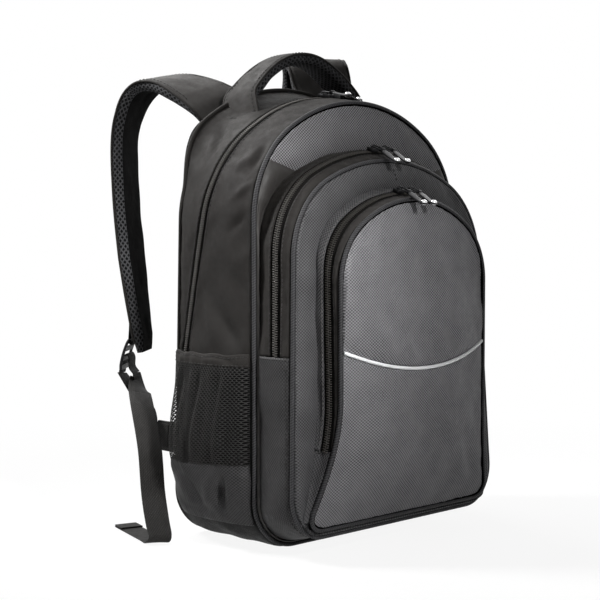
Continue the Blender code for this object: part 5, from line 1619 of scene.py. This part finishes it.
def padded_band(name, path, looks, body, node, wrinkle, joined=None, creases=()):
    """Padded band along a path; looks are those of its outer side, inner side, edges and binding."""
    points, wide, out, width, thick = path
    rings = []
    for point, u_way, v_way, w, t in zip(points, wide, out, width, thick):
        ring = rounded_ring(w, t, BAND_ROUND * t, *BAND_STEPS)
        crown = 1 + BAND_CROWN * (1 - np.clip(np.abs(ring[:, 0]) / (w / 2), 0.0, 1.0) ** 2)
        rings.append(point + u_way * ring[:, :1] + v_way * (ring[:, 1] * crown)[:, None])
    rings = np.stack(rings)
    outward = unit(rings - points[:, None])
    height = wrinkle * QUICK(rings) * smooth_step(lengths(points), 0.0, WRINKLES_FROM)[:, None]
    rings = creased(rings + outward * height[..., None], outward, creases)
    weave = points_of(lengths(points)[:, None], lengths(rings[len(rings) // 2])[None, :])
    item = add_mesh(name, *loft(rings), looks[0], weave)
    for look in looks[1:3]:
        item.data.materials.append(LOOKS[look])
    usual = thick.mean()
    sample = rounded_ring(width.mean(), usual, BAND_ROUND * usual, *BAND_STEPS)[:, 1] / usual * 2
    facing = (sample + np.roll(sample, -1)) / 2
    kinds = np.where(facing > OUTER_FACE, 0, np.where(facing < -INNER_FACE, 1, 2))
    index = np.concatenate((np.tile(kinds, len(points) - 1), (2, 2))).astype(np.int32)
    item.data.polygons.foreach_set("material_index", index)
    if joined:
        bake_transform(item, *joined)
    seat(item, body, (node,))
    inset, raised = BINDING_PLACE
    for way, tag in ((-1, "a"), (1, "b")):
        beside = wide * (way * (width / 2 - inset * thick))[:, None]
        line = points + beside + out * (raised * thick)[:, None]
        cord = tube(f"{name}_binding_{tag}", line[BINDING_SHORT:-BINDING_SHORT], BINDING_RADIUS, looks[3])
        if joined:
            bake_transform(cord, *joined)
        seat(cord, body)


def topstitched(path, distance, first, last):
    """Two lines on the outer side of a padded band, at a distance from its edges, with their normals."""
    points, wide, out, width, thick = path
    lines = []
    for way in (-1, 1):
        line = points + wide * (way * (width / 2 - distance))[:, None] + out * (thick / 2 * 0.985)[:, None]
        lines.append((line[first:last], out[first:last]))
    return lines


def haul_handle():
    """Padded loop over the top, lined with mesh underneath, on two flat feet sewn to the gusset."""
    x = np.linspace(1.0, -1.0, 15) * HANDLE_HALF_SPAN
    arch = points_of(x, HANDLE_Y, HANDLE_AXIS_Z + HANDLE_RISE * (1 - (x / HANDLE_HALF_SPAN) ** 2))
    places = MAIN_LINE.over(np.array(HANDLE_FEET))
    foot = main_wall(places, HANDLE_FEET_Y)
    reach = HANDLE_FOOT_WIDTH / 2
    slope = unit(main_wall(places, HANDLE_FEET_Y + reach) - main_wall(places, HANDLE_FEET_Y - reach))
    foot = foot + unit(np.cross(np.gradient(foot, axis=0), -slope)) * HANDLE_FOOT_LIFT
    flipped = foot * np.array((-1.0, 1.0, 1.0))
    points = smooth_path([*foot[::-1], *arch, *flipped], HANDLE_POINTS)
    share = np.linspace(0.0, 1.0, len(points))
    near = np.minimum(share, 1 - share)
    on_arch = smooth_step(near, 0.06, 0.20)
    level = np.array((0.0, 1.0, 0.0))
    ways = slope[1] * (1 - on_arch)[:, None] + level * on_arch[:, None]
    ways[:, 0] = 0.0
    wide, out = frames(points, ways)
    width = HANDLE_FOOT_WIDTH + (HANDLE_WIDTH - HANDLE_FOOT_WIDTH) * smooth_step(near, 0.06, 0.38)
    thick = HANDLE_THICK * (HANDLE_FOOT_THICK + (1 - HANDLE_FOOT_THICK) * smooth_step(near, 0.05, 0.22))
    path = (points, wide, out, width, thick)
    padded_band("handle_pad", path, ("plain_fabric", "spacer_mesh", "spacer_mesh", "plain_fabric"), "handle",
                "haul_handle", HANDLE_WRINKLE, HANDLE_SEWN, HANDLE_CREASES)
    lines = topstitched(path, HANDLE_TOPSTITCH, 4, -4)
    for end in (0, -1):
        step = 1 if end == 0 else -1
        for away in HANDLE_STITCHES:
            index = end + step * round(away / (lengths(points)[-1] / len(points)))
            shares = np.linspace(-0.5, 0.5, 12)[:, None]
            line = points[index] + wide[index] * width[index] * shares + out[index] * thick[index] / 2 * 1.1
            lines.append((line, np.tile(out[index], (12, 1))))
    stitched("handle_stitching", lines, "handle", HANDLE_SEWN)


def shoulder_strap(side, tag):
    """Padded strap with its webbing loop, ladder lock, lower webbing and free tail."""
    knots = [STRAP_ROOT + Vector((-STRAP_ROOT.x + side * (STRAP_ROOT.x + spread), back, up))
             for (back, up), spread in zip(STRAP_ROUTES[tag], STRAP_SPREADS[tag])]
    slant = STRAP_ROOT_SLANT[tag]
    root = np.array((math.cos(slant), 0.0, -side * math.sin(slant)))
    hang = np.array((math.cos(STRAP_TWIST), -side * math.sin(STRAP_TWIST), 0.0))
    points = smooth_path(knots, STRAP_POINTS)
    share = np.linspace(0.0, 1.0, len(points))
    turn = np.clip(share / STRAP_TURNED[tag], 0.0, 1.0)[:, None]
    wide, out = frames(points, unit(root * (1 - turn) + hang * turn))
    taper = np.clip((share - STRAP_TAPERS) / (1 - STRAP_TAPERS), 0.0, 1.0)
    width = STRAP_WIDTH + (STRAP_END_WIDTH - STRAP_WIDTH) * taper
    thick = np.minimum(1.0, STRAP_ROOT_THICK + share * STRAP_SWELL[0])
    thick = STRAP_THICK * thick * np.minimum(1.0, STRAP_END_THICK + (1 - share) * STRAP_SWELL[1])
    body = f"strap_{tag}"
    sunk = points[0] + np.array(STRAP_SUNK)
    doubled = (np.concatenate((values[:1], values)) for values in (wide, out, width, thick))
    path = (np.concatenate((sunk[None], points)), *doubled)
    # The strap's outer side takes the lighter cloth with its painted sheen
    padded_band(f"strap_pad_{tag}", path, ("strap_fabric", "ribbed_mesh", "spacer_mesh", "plain_fabric"),
                body, f"shoulder_strap_{tag}", STRAP_WRINKLE)
    stitched(f"strap_stitching_{tag}", topstitched(path, STRAP_TOPSTITCH, 12, -3), body)
    coarse = smooth_path(knots, STRAP_STATIONS)
    back = out[-1] if out[-1, 1] > 0 else -out[-1]
    strap_webbing(side, tag, Vector(points[-1]), Vector(wide[-1]), Vector(back),
                  Vector(coarse[-1] - coarse[-3]).normalized())


# Webbing and ladder locks

def ribbed_band(name, points, across_way):
    """Flat webbing along points, with ribs along its length."""
    wide, out = frames(points, across_way)
    u = np.linspace(1.0, -1.0, 4 * WEBBING_RIBS + 1)
    grooves = 0.5 - 0.5 * np.cos(2 * math.pi * WEBBING_RIBS * (u + 1) / 2)
    v = WEBBING_THICK / 2 * (1 - WEBBING_RIB_DEPTH * grooves)
    v = v * (1 - WEBBING_EDGE * np.abs(u) ** 40)
    ring_u = np.concatenate((u, -u)) * WEBBING_WIDTH / 2
    ring_v = np.concatenate((v, -v))
    rings = points[:, None] + wide[:, None] * ring_u[:, None] + out[:, None] * ring_v[:, None]
    return add_mesh(name, *loft(rings), "webbing", points_of(lengths(points)[:, None], ring_u[None, :]))


def mirrored(side, point):
    """Point or direction given for the left side, moved to the asked side."""
    return Vector((-side * point[0], point[1], point[2]))


def twisting(side, first, turns, points):
    """Width directions along a webbing that turn evenly through given directions at given shares."""
    tangents = unit(np.gradient(points, axis=0))
    plain = [np.array(first)]
    for tangent in tangents:
        plain.append(unit(plain[-1] - tangent * (plain[-1] @ tangent)))
    plain = np.array(plain[1:])
    square = np.cross(tangents, plain)
    shares = [0.0]
    angles = [0.0]
    for share, turn in turns:
        index = round(share * (len(points) - 1))
        way = np.array(mirrored(side, turn))
        angle = math.atan2(way @ square[index], way @ plain[index])
        shares.append(share)
        angles.append(angle + math.pi * round((angles[-1] - angle) / math.pi))
    angle = np.interp(np.linspace(0.0, 1.0, len(points)), shares, angles)[:, None]
    return plain * np.cos(angle) + square * np.sin(angle)


def ladder_lock(tag, hinge, wide, back, down):
    """Three-bar lock hanging from its top bar; returns its placing."""
    lean = Matrix.Rotation(LADDER_TILT, 3, wide)
    if (lean @ down).dot(back) < 0:
        lean = Matrix.Rotation(-LADDER_TILT, 3, wide)
    hang = lean @ down
    placing = placing_of(wide, lean @ back, -hang, hinge)
    x = np.array((-LADDER_HALF, LADDER_RAIL - LADDER_HALF, LADDER_HALF - LADDER_RAIL, LADDER_HALF))
    z = np.array(LADDER_EDGES)
    y = LADDER_THICK / 2 - LADDER_BOW * ((z + LADDER_BAR_Z) ** 2 - LADDER_BAR_Z ** 2)
    grid = points_of(x[None, :], y[:, None], z[:, None])
    grid[0, (0, -1), 0] *= LADDER_CUT
    grid[-1, (0, -1), 0] *= LADDER_CUT
    cells = np.array(quads(len(z), len(x))).reshape(len(z) - 1, len(x) - 1, 4)
    faces = [tuple(cells[row, column]) for row in range(len(z) - 1) for column in range(len(x) - 1)
             if row % 2 == 0 or column != 1]
    lock = add_mesh(f"lock_plate_{tag}", grid, [tuple(int(corner) for corner in face) for face in faces],
                    "moulded_plastic")
    thicken(lock, LADDER_THICK)
    rounding = lock.modifiers.new("rounding", "BEVEL")
    rounding.width = LADDER_BEVEL
    rounding.segments = 3
    rounding.angle_limit = math.radians(40)
    lock.matrix_world = placing
    seat(lock, f"lock_{tag}", (f"ladder_lock_{tag}",))
    return placing


def webbing_run(name, points, ways, cut, bodies, span, node):
    """Webbing that leaves a lock: its first points follow the lock, the others run from strap to bag."""
    bag, strap, lock = bodies
    first = ribbed_band(f"{name}_top", points[:cut + 1], ways[:cut + 1])
    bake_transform(first, strap, lock, tuple(points[cut]), tuple(points[0]))
    seat(first, strap)
    rest = ribbed_band(f"{name}_run", points[cut:], ways[cut:])
    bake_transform(rest, bag, strap, *span)
    seat(rest, bag, (node,))


def strap_webbing(side, tag, end, wide, back, down):
    """Ladder lock on its webbing loop behind the strap's end, with the lower webbing and the tail."""
    face = STRAP_THICK / 2 + 2 * SEAM_GAP + WEBBING_THICK / 2
    loop_top = end - down * LOOP_SEWN + back * face
    loop_end = end - down * LOOP_HANGS + back * (face + LOOP_STAND)
    hinge = loop_end + down * LOOP_CLEAR
    turn = np.linspace(0.0, math.pi, 9)
    wrap = [hinge + back * (LOOP_WRAP * math.cos(a)) + down * (LOOP_WRAP * math.sin(a)) for a in turn]
    inner = end - down * (LOOP_HANGS + LOOP_TUCK) + back * (face - WEBBING_THICK * 1.2)
    route = [loop_top, loop_top.lerp(loop_end, 0.5) + back * LOOP_RISE, *wrap, inner]
    loop = ribbed_band(f"lock_loop_{tag}", smooth_path(route, LOOP_POINTS), np.array(wide))
    seat(loop, f"strap_{tag}", (f"strap_webbing_loop_{tag}",))

    placing = ladder_lock(tag, hinge, wide, back, down)
    foot = placing @ Vector((0.0, 0.0, -LADDER_FOOT))
    low_start = foot + back * LOWER_START_OUT + Vector((0.0, 0.0, -LOWER_START_DROP))
    tail_start = foot - back * TAIL_START_IN + Vector((0.0, 0.0, -TAIL_START_DROP))
    threaded = [low_start, *(placing @ Vector(point) for point in LOCK_THREAD), tail_start]
    band_through = ribbed_band(f"lock_webbing_{tag}", smooth_path(threaded, THREAD_POINTS), np.array(wide))
    seat(band_through, f"lock_{tag}")

    bodies = ("bag", f"strap_{tag}", f"lock_{tag}")
    low = smooth_path([low_start, *(mirrored(side, point) for point in LOWER_ROUTE)], LOWER_POINTS)
    span = (tuple(mirrored(side, ANCHOR_PLACE)), tuple(low[LOWER_CUT]))
    ways = twisting(side, wide, LOWER_TURNS, low)
    webbing_run(f"lower_webbing_{tag}", low, ways, LOWER_CUT, bodies, span, f"lower_webbing_{tag}")
    falling = [tail_start, tail_start + mirrored(side, TAIL_FALL)]
    tail = smooth_path([*falling, *(mirrored(side, point) for point in TAIL_ROUTE)], TAIL_POINTS)
    span = ((tail[TAIL_CUT][0], tail[TAIL_CUT][1], 0.0), tuple(tail[TAIL_CUT]))
    ways = twisting(side, wide, TAIL_TURNS, tail)
    webbing_run(f"webbing_tail_{tag}", tail, ways, TAIL_CUT, bodies, span, f"webbing_tail_{tag}")
    fold = tail[-TAIL_HEM:] + np.array((0.0, 0.0, WEBBING_THICK))
    seat(ribbed_band(f"tail_hem_{tag}", fold, ways[-TAIL_HEM:]), "bag")
    anchor(side, tag)


def anchor(side, tag):
    """Folded tab of webbing that holds the lower webbing to the back seam."""
    points, faces = block(ANCHOR_SIZE, ANCHOR_BEVEL)
    points[:, 1] -= ANCHOR_TUCK * (points[:, 1] < 0)
    placed = points + np.array(mirrored(side, ANCHOR_PLACE))
    item = add_mesh(f"anchor_tab_{tag}", placed, faces, "webbing", points[:, [1, 2]])
    seat(item, "bag", (f"strap_anchor_{tag}",))


# Stage, light and camera

def area_light(name, place, aim, size, power, spread):
    """Soft square light at a place, aimed at a point, its light spread over an angle."""
    lamp = bpy.data.lights.new(name, "AREA")
    lamp.shape = "SQUARE"
    lamp.size = size
    lamp.energy = power
    lamp.spread = spread
    item = bpy.data.objects.new(name, lamp)
    item.location = place
    item.rotation_euler = (Vector(aim) - Vector(place)).to_track_quat("-Z", "Y").to_euler()
    bpy.context.scene.collection.objects.link(item)


def white_to_camera(tree, surface, share):
    """Shader that shows the camera, also through reflections, a share of plain white over a surface."""
    path = tree.nodes.new("ShaderNodeLightPath")
    white = tree.nodes.new("ShaderNodeEmission")
    mix = tree.nodes.new("ShaderNodeMixShader")
    seen = maths(tree, "ADD", path.outputs["Is Camera Ray"], path.outputs["Is Glossy Ray"])
    seen = maths(tree, "ADD", seen, path.outputs["Is Transmission Ray"])
    tree.links.new(maths(tree, "MULTIPLY", seen, share), mix.inputs[0])
    tree.links.new(surface, mix.inputs[1])
    tree.links.new(white.outputs[0], mix.inputs[2])
    return mix.outputs[0]


def studio():
    """White floor that keeps the bag's shadow and fades to white, white surroundings and soft lights."""
    floor = add_mesh("floor", FLOOR_HALF * np.array(((-1, -1, 0), (1, -1, 0), (1, 1, 0), (-1, 1, 0))),
                     [(0, 1, 2, 3)], "board")
    look, tree, shader = new_material("floor", 0.9)
    shader.inputs["Base Color"].default_value = (0.92, 0.92, 0.92, 1.0)
    place = tree.nodes.new("ShaderNodeTexCoord")
    away = tree.nodes.new("ShaderNodeVectorMath")
    away.operation = "LENGTH"
    tree.links.new(place.outputs["Object"], away.inputs[0])
    white = spread_of(tree, away.outputs["Value"], *FLOOR_FADES, 1.0 - FLOOR_SHOWS, 1.0)
    tree.links.new(white_to_camera(tree, shader.outputs[0], white), tree.nodes["Material Output"].inputs[0])
    floor.data.materials.clear()
    floor.data.materials.append(look)

    world = bpy.data.worlds.new("surroundings")
    world.use_nodes = True
    sky = world.node_tree.nodes["Background"]
    sky.inputs["Strength"].default_value = AMBIENT
    sky.inputs["Color"].default_value = (1.0, 1.0, 1.0, 1.0)
    world.node_tree.links.new(white_to_camera(world.node_tree, sky.outputs[0], 1.0),
                              world.node_tree.nodes["World Output"].inputs[0])
    bpy.context.scene.world = world
    for name, settings in LIGHTS.items():
        area_light(name, *settings)


def camera():
    """Camera at the photograph's place."""
    right = Vector((0, 0, 1)).cross(CAMERA_BACK).normalized()
    up = CAMERA_BACK.cross(right).normalized()
    lens = bpy.data.cameras.new("camera")
    lens.sensor_width = SENSOR
    lens.lens = CAMERA_FOCAL / PHOTO_WIDTH * SENSOR
    item = bpy.data.objects.new("camera", lens)
    item.matrix_world = placing_of(right, up, CAMERA_BACK, CAMERA_PLACE)
    bpy.context.scene.collection.objects.link(item)
    bpy.context.scene.camera = item


main_compartment()
middle_pocket()
front_pocket()
side_pockets()
back_panel()
zip_hardware()
haul_handle()
shoulder_strap(-1, "left")
shoulder_strap(1, "right")
NODES["base_board"].data.materials.clear()
NODES["base_board"].data.materials.append(LOOKS["board"])
studio()
camera()
bpy.context.scene.view_settings.view_transform = "Standard"
